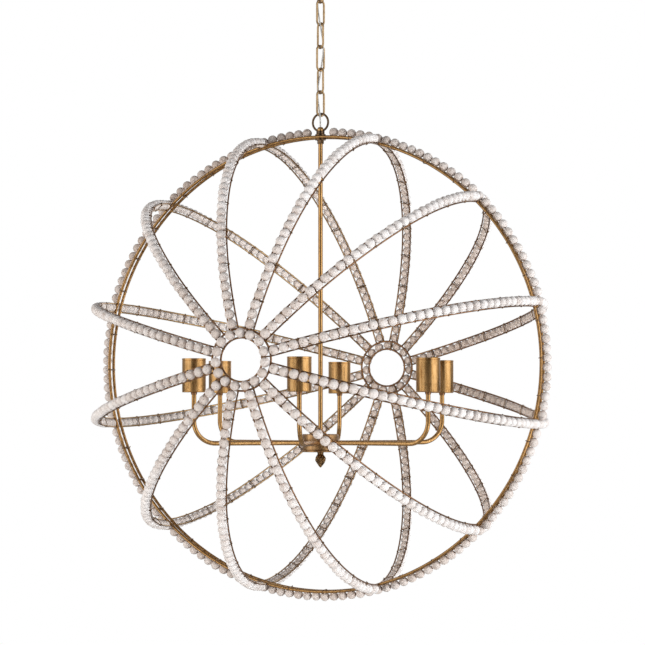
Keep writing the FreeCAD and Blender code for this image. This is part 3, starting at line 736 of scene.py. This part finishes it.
def rib_rails(turns):
    """Four rails for each rib: arcs of the rail circle from the rim to each hub, beside the rib's middle.
    They waver a little, as hand bent wire does, but not at their welded ends."""
    turn, half, side = crossed(turns, [-1, 1], [-1, 1])
    each = (len(turn), 1)
    along = linspace(0, 1, RAIL_POINTS)[None, :]
    angle = rail_rim_angle + (rail_hub_angle - rail_rim_angle) * along
    held = sin(pi * along)
    waver = 0.0
    for waves in WAVES:
        size = rng.uniform(WAVER_LEAST, WAVER_MOST, each) * MM
        waver = waver + size * sin(pi * waves * along + rng.uniform(0, PHASES, each))
    lift = LIFT * sin(LIFT_WAVES * pi * along + rng.uniform(0, PHASES, each)) * held
    circle = RAIL_CIRCLE_R + lift
    paths = CENTRE + rib_vector(turn, circle * cos(angle), half * circle * sin(angle),
                                side * RAIL_SPACING / 2 + waver * held)
    rails = wires(paths, RAIL_R, rib_vector(turn, 0, 0, 1), sides=8)
    rail_skin = rails[0].reshape(*paths.shape[:2], -1, 3)
    outward = unit(rail_skin - paths[:, :, None])
    # Painted light: the rails' side facing the orb's centre, brightest on the orb's left, none on its right
    painted_inner_shading = clip(-np.sum(outward * unit(rail_skin - CENTRE), -1), 0, 1) * (1.0 - right_share(rail_skin))
    drops = weld_drops(concatenate([paths[:, 0], paths[:, -1]]))
    return joined(rails, drops), {"painted_inner_shading": concatenate([painted_inner_shading.ravel(), np.zeros(len(drops[0]))])}


for number, pair in enumerate(rib_pairs, 1):
    shape, marks = rib_rails(pair)
    put(f"rib_rails_{number}", shape, rail_brown, [f"rib_wires_{number}"], marks=marks)


def wire_ring(circle_r, wire_r, along, points, sides):
    """Closed ring of round wire about the hub line."""
    path = CENTRE + ring_vector(round_steps(points), circle_r, along)
    return wires(path[None], wire_r, ALONG_HUBS, sides, closed=True)


for side, name in HALVES:
    rim_wire = wire_ring(RIM_CIRCLE_R, RIM_WIRE_R, side * RIM_SPACING / 2, points=240, sides=12)
    put(f"{name}_rim_wire", rim_wire, rim_gold, [f"{name}_rim_ring"])
    for part, circle_r, points in (("inner", HUB_INNER_R, 72), ("outer", HUB_OUTER_R, 96)):
        hub_wire = wire_ring(circle_r, HUB_DRAWN_R, side * HUB_Y, points, sides=10)
        put(f"{name}_hub_{part}_wire", hub_wire, rail_brown, [f"{name}_hub_{part}_ring"])

# Strings and tie wires
STRING_INSET = BEAD_R - 1.0 * MM
STRING_SIDES = 5


def bead_strings():
    """Thin wires through the beads of each half rib, of the rim and of each hub."""
    inset = STRING_INSET / BEAD_CIRCLE_R
    turn, half = crossed(rib_turns, [-1, 1])
    angle = linspace(RIB_FIRST - inset, RIB_LAST + inset, num=49)[None, :]
    ribs = CENTRE + BEAD_CIRCLE_R * rib_vector(turn, cos(angle), half * sin(angle), 0)
    rib_strings = wires(ribs, STRING_R, rib_vector(turn, 0, 0, 1), STRING_SIDES)
    inset = STRING_INSET / RIM_BEAD_CIRCLE_R
    turn = linspace(rim_spots[0] - inset, rim_spots[-1] + inset, num=313)
    rim = CENTRE + ring_vector(turn, rim_string_r(turn), 0.0)
    rim_string = wires(rim[None], STRING_R, ALONG_HUBS, STRING_SIDES)
    hub_strings = [
        wire_ring(HUB_BEAD_CIRCLE_R, STRING_R, side * HUB_BEAD_Y, points=60, sides=STRING_SIDES)
        for side in (-1, 1)
    ]
    return joined(rib_strings, rim_string, *hub_strings)


put("bead_string_wires", bead_strings(), tie_brown, ["bead_strings"])

TIE_SIDES = 5
TIE_DIP = 0.1 * MM
TIE_LEAN = 0.5 * MM
TIE_PITCH = 0.9 * TIE_R
RIM_TIE_DIP = 0.9 * MM
RIM_TIE_ROOM = 1.0 * MM
TAIL_L = 2.6 * MM
TAIL_SWING = 1.6 * MM
TAIL_RADII = TIE_R * array([1.6, 1.5, 1.3, 0.8])


def ties(centres, outs, acrosses, half_spacing, wire_r, over):
    """Tie wires: a band of two turns round both wires, in the plane of out and across, that rises over them
    in its middle, and a short twisted tail that points inwards from one of the two wires."""
    count = len(centres)
    each = (count, 1, 1)
    h, c = half_spacing, wire_r + TIE_R
    loop = array([
        (-h, -c), (0.0, -c - TIE_DIP), (h, -c), (h + 0.75 * c, -0.7 * c), (h + c, 0.0),
        (h + 0.7 * c, 0.75 * c), (h, c), (0.0, over), (-h, c), (-h - 0.7 * c, 0.75 * c), (-h - c, 0.0),
        (-h - 0.75 * c, -0.7 * c),
    ])
    alongs = np.cross(outs, acrosses)
    centre, out, across, along = (a[:, None] for a in (centres, outs, acrosses, alongs))
    lean = TIE_LEAN * rng.uniform(-1, 1, each) * sin(round_steps(len(loop)))[None, :, None]
    path = centre + loop[None, :, :1] * across + loop[None, :, 1:] * out + lean * along
    paths = concatenate([path - TIE_PITCH * along, path + TIE_PITCH * along])
    bands = wires(paths, TIE_R, np.tile(along, (2, 1, 1)), TIE_SIDES, closed=True)
    start = np.sign(rng.uniform(-1, 1, each)) * h * rng.uniform(0.8, 1.05, each)
    swing = TAIL_SWING * rng.uniform(-1, 1, (count, 2, 1, 1))
    s = linspace(0, 1, len(TAIL_RADII))[None, :, None]
    length = TAIL_L * rng.uniform(0.35, 1.0, each)
    tail = (centre + start * across - (0.8 * c + length * s) * out
            + swing[:, 0] * s ** 2 * across + swing[:, 1] * s ** 2 * along)
    return joined(bands, wires(tail, TAIL_RADII, along, TIE_SIDES))


def all_ties():
    """Ties of the ribs between two beads, of the rim under a bead, and of the hubs between two beads."""
    angle = half_rib[TIE_EVERY - 1:-1:TIE_EVERY] + (half_rib[1] - half_rib[0]) / 2
    turn, angle = (a[:, 0] for a in crossed(rib_turns, concatenate([-angle, angle])))
    outs = rib_vector(turn, cos(angle), sin(angle), 0)
    rib_ties = ties(CENTRE + RAIL_CIRCLE_R * outs, outs, rib_vector(turn, 0, 0, 1), RAIL_SPACING / 2,
                    RAIL_R, BEAD_CIRCLE_R - RAIL_CIRCLE_R + STRING_R + TIE_R)
    place_no = np.arange(TIE_EVERY // 2, PLACES, TIE_EVERY)
    rim = off_the_stem((rib_turns[:, None] - SECTOR + BEAD_STEP * place_no).ravel() % (2 * pi), RIM_TIE_ROOM)
    outs = ring_vector(rim, 1, 0)
    rim_ties = ties(CENTRE + RIM_CIRCLE_R * outs, outs, np.tile(ALONG_HUBS, (len(rim), 1)), RIM_SPACING / 2,
                    RIM_WIRE_R, -RIM_TIE_DIP)
    hub = round_steps(HUB_TIES) + pi / HUB_BEADS
    across = ring_vector(hub, 1, 0)
    hub_ties = [
        ties(CENTRE + ring_vector(hub, HUB_BEAD_CIRCLE_R, side * HUB_Y),
             np.tile([0, side, 0], (HUB_TIES, 1)), across, HUB_SPACING / 2, HUB_WIRE_R,
             HUB_BEAD_Y - HUB_Y + STRING_R + TIE_R)
        for side in (-1, 1)
    ]
    return joined(rib_ties, rim_ties, *hub_ties)


put("twisted_ties", all_ties(), tie_brown, ["tie_wires"])

# Supply lead: the spline of its route, cut in the middle of each link
LEAD_START = -1.0 * MM
LEAD_REACH = 1.08 * LEAD_OFFSET * sqrt(2)
LEAD_SIDES = 16
LEAD_HALF_T = 0.75 * MM
LEAD_WIDER = 0.6 * MM
LEAD_CURVE = 1.3
lead_route = [(0, 0, LEAD_START), (0, 0, CANOPY_LOOP_FOOT - LOOP_BASE_H - KNOB_H)]
for number, level in enumerate(hooks):
    turn = hook_turns[0] + pi / 4 + pi / 2 * number
    lead_route.append((LEAD_REACH * cos(turn), LEAD_REACH * sin(turn), level + LINK_WIRE_R))
lead_route += [(0, 0, TOP_LOOP_FOOT + LOOP_BASE_H + KNOB_H), (0, 0, TOP_LOOP_FOOT + LOOP_BASE_H)]


def spline_points(route, resolution):
    """Points read from the NURBS spline whose control points are the route."""
    curve = bpy.data.curves.new("lead_route", "CURVE")
    curve.dimensions = "3D"
    spline = curve.splines.new("NURBS")
    spline.points.add(len(route) - 1)
    spline.points.foreach_set("co", [c for point in route for c in (*point, 1.0)])
    spline.order_u = 3
    spline.use_endpoint_u = True
    spline.resolution_u = resolution
    holder = bpy.data.objects.new("lead_route", curve)
    mesh = bpy.data.meshes.new_from_object(holder)
    points = np.zeros(len(mesh.vertices) * 3)
    mesh.vertices.foreach_get("co", points)
    bpy.data.batch_remove([mesh, holder, curve])
    return points.reshape(-1, 3)


lead_line = spline_points(lead_route, resolution=20)
cuts = [0]
for upper, lower in zip(hooks, hooks[1:]):
    cuts.append(int(np.argmin(np.abs(lead_line[:, 2] - (upper + lower) / 2))))
cuts.append(len(lead_line) - 1)


def twin_lead(line):
    """Flat lead of two wires side by side: a ring about the line whose radius grows with |cos t|^1.3, and
    which turns by 90 degrees from each hook to the next."""
    turn = hook_turns[0] + pi / 4 * 3 - pi / 2 * (hooks[0] - line[:, 2]) / (hooks[0] - hooks[1])
    along = unit(np.gradient(line, axis=0))
    flat = stack([cos(turn), sin(turn), np.zeros(len(line))], 1)
    flat = unit(flat - along * np.sum(flat * along, 1, keepdims=True))
    thin = np.cross(along, flat)
    t = round_steps(LEAD_SIDES)[None, :, None]
    reach = LEAD_HALF_T + LEAD_WIDER * np.abs(cos(t)) ** LEAD_CURVE
    points = line[:, None] + reach * (cos(t) * flat[:, None] + sin(t) * thin[:, None])
    return points.reshape(-1, 3), [skin(1, len(line), LEAD_SIDES), end_caps(1, len(line), LEAD_SIDES)]


for number, (start, end) in enumerate(zip(cuts, cuts[1:])):
    piece = put(f"lead_stretch_{number + 1}", twin_lead(lead_line[start:end + 1]), lead_silver,
                [f"supply_lead_{number + 1}"], body=None)
    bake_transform(piece)

# Chain links and screw loops
SWELL = 0.14
SWELL_HALF_L = 1.6 * MM


def link_shape():
    """Oblong link: a round wire on two half circles and the straights between them, with a swollen weld."""
    bend = linspace(0, pi, num=25)
    straight = LINK_DROP - 2 * LINK_HALF_W
    level = linspace(0, straight, num=9)[1:-1]
    wide = np.full(len(level), LINK_HALF_W)
    upper = stack([LINK_HALF_W * cos(bend), LINK_HALF_W * sin(bend)], 1)
    lower = -upper - (0.0, straight)
    flat = concatenate([upper, stack([-wide, -level], 1), lower, stack([wide, level - straight], 1)])
    path = stack([flat[:, 0], np.zeros(len(flat)), flat[:, 1] - LINK_HALF_W], 1)
    weld = np.hypot(path[:, 0] - LINK_HALF_W, path[:, 2] + LINK_DROP / 2)
    radius = LINK_WIRE_R * (1 + SWELL * np.exp(-(weld / SWELL_HALF_L) ** 2))
    return wires(path[None], radius[None], ALONG_HUBS, sides=12, closed=True)


for number in range(1, len(hooks)):
    points, faces = link_shape()
    points = about_z(points, hook_turns[number], levels(f"chain_link_{number}")[1] - LINK_WIRE_R)
    put(f"link_{number}_wire", (points, faces), chain_bronze, [f"chain_link_{number}"], body=f"link_{number}")


def loop_shapes():
    """Screw loop standing at the origin: its ring, its threaded base and its knob with the lead's hole."""
    turn = round_steps(64)
    path = stack([LOOP_RING_R * cos(turn), 0.0 * turn, LOOP_RING_R * sin(turn)], 1)
    path[:, 2] += LOOP_BASE_H + LOOP_RING_R
    ring = wires(path[None], LOOP_WIRE_R, ALONG_HUBS, sides=12, closed=True)
    base = flat_ring(LOOP_BORE_R, LOOP_BASE_R, 0.0, LOOP_BASE_H, cut=0.5 * MM)
    knob = concatenate([
        in_mm([(2.2, -0.2), (5.8, -0.2), (5.8, 2.6), (5.0, 5.0)], z=LOOP_BASE_H),
        in_mm([(3.4, 0), (2.2, 0)], z=LOOP_BASE_H + KNOB_H),
    ])
    return ring, turned(base, sides=40), turned(eased(knob, cut=1.0 * MM), sides=32)


UPSIDE_DOWN = array([1.0, -1.0, -1.0])
for name, body, turn, foot, way in (
    ("top", "orb", LOOP_TURN, TOP_LOOP_FOOT, 1.0),
    ("canopy", "ceiling_plate", hook_turns[0], CANOPY_LOOP_FOOT, UPSIDE_DOWN),
):
    ring, base, knob = ((about_z(points * way, turn, foot), faces) for points, faces in loop_shapes())
    put(f"{name}_loop_ring", joined(ring, base), dark_bronze, [f"{name}_loop"], body, sharp=EDGE)
    put(f"{name}_loop_knob", knob, antique_gold, body=body, sharp=EDGE)

# Clamp on the rim, stem, drum, cover and finial
WASHER_T = 2.5 * MM
STEM_BORE_R = 2.7 * MM
DRUM_R = 31.0 * MM
DRUM_WALL = 1.5 * MM
COVER_R = 34.0 * MM
washers_low, washers_high = levels("rim_washers")
washers = [
    turned(flat_ring(STEM_R, WASHER_R, bottom, bottom + WASHER_T), sides=40)
    for bottom in (washers_high - WASHER_T, washers_low)
]
put("clamp_washers", joined(*washers), dark_bronze, ["rim_washers"], sharp=EDGE)
tube = flat_ring(STEM_BORE_R, STEM_R, *levels("centre_stem"))
put("centre_tube", turned(tube, sides=28), antique_gold, ["centre_stem"], sharp=EDGE)
drum = eased([
    (DRUM_R - DRUM_WALL, drum_low), (DRUM_R, drum_low), (DRUM_R, drum_high), (STEM_R, drum_high),
    (STEM_R, drum_high - DRUM_WALL), (DRUM_R - DRUM_WALL, drum_high - DRUM_WALL),
], cut=0.9 * MM)
put("arm_drum", turned(drum, sides=72), drum_gold, ["drum_body"], sharp=EDGE)
cover = eased(concatenate([
    [(STEM_R, cover_low)],
    in_mm([(-1.2, 0), (0, 0.9)], COVER_R, cover_low),
    in_mm([(0, -0.6), (-0.8, 0)], COVER_R, cover_high),
    [(STEM_R, cover_high)],
]), cut=0.6 * MM)
put("rolled_cover", turned(cover, sides=72), drum_gold, ["drum_cover"], sharp=EDGE)

FINIAL_L = finial_high - finial_low
BUD_SHARES = [0.0, 0.02, 0.09, 0.11, 0.16, 0.24, 0.34, 0.44, 0.54, 0.64, 0.74, 0.84, 0.92, 0.97, 1.0]
BUD_RADII = array([5.0, 5.5, 5.5, 4.9, 5.3, 6.8, 8.3, 8.9, 8.6, 7.5, 5.9, 4.0, 2.4, 1.3, 0.0]) * MM
BUD_FLUTES = 9
BUD_TWIST = 0.6 * pi
BUD_GROOVE = 0.19
BUD_SWELL = 0.3


def bud_radius(r, z, t):
    """Bud's radius with two sets of slanting grooves that cross, as on a cone, fading at both ends."""
    down = (finial_high - z) / FINIAL_L
    depth = BUD_GROOVE * clip((down - 0.16) / 0.12, 0, 1) * clip((1.0 - down) / 0.15, 0, 1)
    one, other = (np.abs(sin(BUD_FLUTES / 2 * (t + way * BUD_TWIST * down))) for way in (1, -1))
    return r * (1 - depth * ((1 - one) ** 2 + (1 - other) ** 2) + BUD_SWELL * depth)


bud_share = linspace(1, 0, num=49)
bud = stack([np.interp(bud_share, BUD_SHARES, BUD_RADII), finial_high - bud_share * FINIAL_L], 1)
bud = concatenate([bud, [(0.0, finial_high)]])
put("bud_finial", turned(bud, sides=72, closed=False, shape=bud_radius), bud_gold, ["finial"], sharp=60)

# Arms, cups and lampholders
ARM_INNER_R = DRUM_R - DRUM_WALL - 1.0 * MM
HOLDER_GRIP = 6.0 * MM
HOLDER_BORE_R = 1.6 * MM
COLLAR_R = 5.3 * MM
COLLAR_H = 4.0 * MM
CUP_TOP = CUP_BOTTOM + CUP_H
HOLDER_BOTTOM = CUP_BOTTOM + CUP_FLOOR
HOLDER_TOP = HOLDER_BOTTOM + HOLDER_H
HOLDER_FLOOR = HOLDER_TOP - SHELL_L - CONTACT_T
ARM_END = HOLDER_BOTTOM + HOLDER_GRIP
SHELL_OUTER_R = SHELL_R + SHELL_WALL
SHELL_SKIN_R = SHELL_OUTER_R - 0.1 * MM
SHELL_BOTTOM = HOLDER_FLOOR + CONTACT_T
SHELL_TOP = SHELL_BOTTOM + SHELL_L
CONTACT_R = 4.0 * MM
CONTACT_MIDDLE = HOLDER_FLOOR + CONTACT_T / 2
WELL_R = 10.0 * MM
THREAD_DEPTH = 0.35 * MM
THREAD_FADE = 2 * MM


def arm_shapes():
    """Arms: tubes that run out of the drum, round a quarter circle and up to the lampholder."""
    run = linspace(ARM_INNER_R, CUP_CIRCLE_R - ARM_BEND_R, num=14)
    bend = linspace(0, pi / 2, num=19)[1:-1]
    rise = linspace(ARM_LEVEL + ARM_BEND_R, ARM_END, num=6)
    bend_out = CUP_CIRCLE_R - ARM_BEND_R + ARM_BEND_R * sin(bend)
    bend_level = ARM_LEVEL + ARM_BEND_R - ARM_BEND_R * cos(bend)
    out = concatenate([run, bend_out, np.full(len(rise), CUP_CIRCLE_R)])
    level = concatenate([np.full(len(run), ARM_LEVEL), bend_level, rise])
    s, c = sin(arm_turns)[:, None], cos(arm_turns)[:, None]
    paths = stack(np.broadcast_arrays(out * c, out * s, level), -1)
    return wires(paths, ARM_R, stack([-s, c, 0.0 * s], -1), sides=16)


def thread(r, z, t):
    """Rolled screw thread: the wall's radius less a depth that follows the sine of the height over the pitch,
    less the turn."""
    fade = clip((SHELL_TOP - z) / THREAD_FADE, 0, 1) * clip((z - SHELL_BOTTOM) / THREAD_FADE, 0, 1)
    return r - THREAD_DEPTH * fade * (0.5 + 0.5 * sin(2 * pi * (z - SHELL_BOTTOM) / SHELL_PITCH - t))


put("bent_arms", arm_shapes(), antique_gold, ["lamp_arms"])
collar = eased([
    (ARM_R - 0.5 * MM, CUP_BOTTOM - COLLAR_H), (ARM_R + 0.6 * MM, CUP_BOTTOM - COLLAR_H),
    (COLLAR_R, CUP_BOTTOM - 0.45 * COLLAR_H), (COLLAR_R, CUP_BOTTOM), (ARM_R - 0.5 * MM, CUP_BOTTOM),
], cut=0.6 * MM)
put("arm_collars", turned(collar, 28, cup_centres), rail_brown, sharp=EDGE)

cup = concatenate([
    [(ARM_R, CUP_BOTTOM)],
    in_mm([(-0.9, 0), (0, 0.9), (0, 1.6), (-0.3, 1.9), (-0.3, 2.4), (-0.2, 2.7)], CUP_R, CUP_BOTTOM),
    in_mm([(-0.2, -4.1), (-0.55, -3.8), (-0.55, -3.4), (0, -3.0), (0, -0.3)], CUP_R, CUP_TOP),
    in_mm([(-0.3, 0), (-1.0, 0), (-1.2, -0.3)], CUP_R, CUP_TOP),
    [(CUP_R - CUP_WALL, HOLDER_BOTTOM), (ARM_R, HOLDER_BOTTOM)],
])
put("lamp_cups", turned(cup, 56, cup_centres), antique_gold, ["socket_cups"], sharp=28)

holder = eased(concatenate([
    [(ARM_R, HOLDER_BOTTOM), (HOLDER_R, HOLDER_BOTTOM)],
    in_mm([(0, -6.0), (-0.8, -5.0), (-0.8, 0)], HOLDER_R, HOLDER_TOP),
    [(SHELL_OUTER_R, HOLDER_TOP), (SHELL_OUTER_R, HOLDER_FLOOR), (HOLDER_BORE_R, HOLDER_FLOOR)],
    [(HOLDER_BORE_R, ARM_END), (ARM_R, ARM_END)],
]), cut=0.6 * MM)
put("holder_bodies", turned(holder, 40, cup_centres), porcelain, ["lampholders"],
    sharp=EDGE)

shell_level = linspace(SHELL_BOTTOM, SHELL_TOP, num=50)
shell = concatenate([
    stack([np.full(len(shell_level), SHELL_SKIN_R), shell_level], 1),
    stack([np.full(len(shell_level), SHELL_R), shell_level[::-1]], 1),
])
put("threaded_shells", turned(shell, 28, cup_centres, shape=thread), shell_brass, ["screw_shells"],
    sharp=45)
contact = eased([
    (0.0, HOLDER_FLOOR), (SHELL_SKIN_R, HOLDER_FLOOR), (SHELL_SKIN_R, SHELL_BOTTOM), (WELL_R, SHELL_BOTTOM),
    (WELL_R, CONTACT_MIDDLE), (CONTACT_R, CONTACT_MIDDLE), (CONTACT_R, SHELL_BOTTOM), (0.0, SHELL_BOTTOM),
], cut=0.4 * MM, closed=False)
put("contact_discs", turned(contact, 32, cup_centres, closed=False), shell_brass, ["centre_contacts"],
    sharp=EDGE)

# Ceiling plate
CANOPY_R = 65.0 * MM
CANOPY_FLAT_R = 20.0 * MM
CANOPY_EDGE_H = 6.0 * MM
CANOPY_WALL = 1.2 * MM
NIPPLE_R = 4.8 * MM
RING_NUT_R = 12.0 * MM
KNURL_FROM_R = 11.0 * MM
KNURL_DEPTH = 0.35 * MM
KNURLS = 40


def dish(radius, depth, flat_r):
    """Dished outline from the ceiling to the flat bottom: an upright edge, then a shoulder whose radius
    follows cos(t)^0.8 and whose depth follows sin(t)^1.35."""
    t = linspace(0, pi / 2, num=25)
    r = flat_r + (radius - flat_r) * cos(t) ** 0.8
    z = -CANOPY_EDGE_H - (depth - CANOPY_EDGE_H) * sin(t) ** 1.35
    return concatenate([[(radius, 0.0)], stack([r, z], 1)])


def knurl(r, z, t):
    """Ring nut's radius with fine upright ribs on its outer face."""
    outer = (r > KNURL_FROM_R) * np.ones_like(t)
    return r - KNURL_DEPTH * outer * (0.5 + 0.5 * cos(KNURLS * t))


canopy = concatenate([
    [(NIPPLE_R, -CANOPY_DEPTH)],
    dish(CANOPY_R, CANOPY_DEPTH, CANOPY_FLAT_R)[::-1],
    dish(CANOPY_R - CANOPY_WALL, CANOPY_DEPTH - CANOPY_WALL, CANOPY_FLAT_R - CANOPY_WALL),
    [(NIPPLE_R, CANOPY_WALL - CANOPY_DEPTH)],
])
put("dished_canopy", turned(canopy, sides=96), antique_gold, ["canopy"], "ceiling_plate", sharp=40)
ring_nut = flat_ring(NIPPLE_R, RING_NUT_R, *levels("canopy_ring_nut"), cut=0.8 * MM)
put("knurled_ring_nut", turned(ring_nut, sides=160, shape=knurl), antique_gold, ["canopy_ring_nut"],
    "ceiling_plate", sharp=50)

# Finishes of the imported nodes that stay
for node, finish in (
    ("mounting_strap", zinc_steel), ("canopy_nipple", zinc_steel), ("nipple_lock_nut", zinc_steel),
    ("ground_screw", ground_green), ("stem_nuts", dark_bronze), ("stem_lead", lead_silver),
    ("arm_wires", wire_jacket),
):
    kept = frame["nodes"][node]
    if not kept.material_slots:
        kept.data.materials.append(finish)
    for holder in kept.material_slots:
        holder.material = finish

# Floor, light and camera
FLOOR_Z = -2.6
FLOOR_REACH = 60.0
FLOOR_PALE = (0.64, 0.635, 0.625)
FLOOR_GREY = (0.60, 0.595, 0.585)
WHITE = (1.0, 1.0, 1.0, 1.0)
WARM_WHITE = (1.0, 0.985, 0.978, 1.0)
CAMERA_TURN = radians(18.65)
CAMERA_RISE = radians(-1.06)
CAMERA_AWAY = 4.2
DARK_TURN = CAMERA_TURN + radians(4.0)
PHOTO_SIDE = 645
FOCAL_PIXELS = 2430.0
ORB_PIXEL = (320.5, 364.0)


def seen_white(kind, felt, output):
    """White for the camera, and another shader for every other ray."""
    white = add(kind, {"Color": WHITE, "Strength": 1.0}, felt.id_data)
    camera_ray = add("LightPath", {}, felt.id_data).outputs["Is Camera Ray"]
    either = add("MixShader", {0: camera_ray, 1: felt.outputs[0], 2: white.outputs[0]})
    feed(output, {0: either.outputs[0]})


floor_mesh = bpy.data.meshes.new("pale_floor")
corners = [(x * FLOOR_REACH, y * FLOOR_REACH, FLOOR_Z) for x, y in ((-1, -1), (1, -1), (1, 1), (-1, 1))]
floor_mesh.from_pydata(corners, [], [(0, 1, 2, 3)])
floor_paint, floor_shader, floor_place = new_material("pale_floor")
floor_tint = span(noise(floor_place, 0.6), 0.3, 0.7)
feed(floor_shader, {
    "Base Color": blend_colour(floor_tint, FLOOR_GREY, FLOOR_PALE),
    "Roughness": 0.9,
})
seen_white("Emission", floor_shader, floor_paint.node_tree.nodes["Material Output"])
floor_mesh.materials.append(floor_paint)
floor = new_object("pale_floor", floor_mesh)

# Mirror images see glow, darker towards the camera, and matt surfaces see fill, brighter from below
world = bpy.data.worlds.new("studio")
scene.world = world
world.use_nodes = True
sky = world.node_tree
sky.nodes.clear()
heading = add("TexCoord", {}, sky).outputs["Generated"]
dark_side = (sin(DARK_TURN), -cos(DARK_TURN), 0.0)
facing = add("VectorMath", {0: heading, 1: dark_side}, operation="DOT_PRODUCT").outputs["Value"]
height = add("SeparateXYZ", {0: heading}).outputs[2]
glow = times(span(facing, 0.84, 0.99, 0.47, 0.0), span(height, 0.1, 0.8, 1.0, 0.6))
fill = times(span(height, -0.5, 0.6, 0.58, 0.24), span(facing, -0.6, 0.9, 0.9, 1.45))
glossy_ray = add("LightPath", {}, sky).outputs["Is Glossy Ray"]
strength = add("Mix", {0: glossy_ray, 2: fill, 3: glow}).outputs[0]
felt = add("Background", {"Color": WARM_WHITE, "Strength": strength})
seen_white("Background", felt, add("OutputWorld", {}, sky))


def aimed(name, data, turn, rise, away):
    """Camera or lamp at a turn and a rise from the orb's centre, facing it."""
    out = Vector((sin(turn) * cos(rise), -cos(turn) * cos(rise), sin(rise)))
    made = new_object(name, data)
    made.location = Vector(CENTRE) + out * away
    made.rotation_mode = "QUATERNION"
    made.rotation_quaternion = (-out).to_track_quat("-Z", "Y")
    return made


camera = bpy.data.cameras.new("photo_camera")
camera.sensor_width = 36.0
camera.lens = FOCAL_PIXELS * camera.sensor_width / PHOTO_SIDE
camera.shift_x = (PHOTO_SIDE / 2 - ORB_PIXEL[0]) / PHOTO_SIDE
camera.shift_y = (ORB_PIXEL[1] - PHOTO_SIDE / 2) / PHOTO_SIDE
camera.clip_end = 200.0
scene.camera = aimed("photo_camera", camera, CAMERA_TURN, CAMERA_RISE, CAMERA_AWAY)
scene.view_settings.view_transform = "Standard"


def soft_light(name, turn, rise, away, width, height, power, mirrored=True, lighting=True, tint=WHITE[:3]):
    """Large soft lamp at a turn from the camera's side. It may be left out of mirror images, or only give
    those."""
    light = bpy.data.lights.new(name, "AREA")
    light.shape = "RECTANGLE"
    light.size = width
    light.size_y = height
    light.energy = power
    light.color = tint
    lamp = aimed(name, light, CAMERA_TURN + radians(turn), radians(rise), away)
    lamp.visible_glossy = mirrored
    lamp.visible_diffuse = lighting


soft_light("right_softbox", turn=62, rise=-9, away=5.0, width=2.8, height=2.2, power=225, mirrored=False)
soft_light("right_panel", turn=62, rise=2, away=2.6, width=3.0, height=3.2, power=42, lighting=False)
soft_light("left_softbox", turn=-50, rise=-9, away=5.0, width=3.2, height=2.2, power=155, mirrored=False,
           tint=(1.0, 0.94, 0.885))
soft_light("left_panel", turn=-62, rise=2, away=2.6, width=3.0, height=3.2, power=31, lighting=False)
soft_light("back_softbox", turn=170, rise=10, away=3.4, width=2.4, height=2.0, power=10)
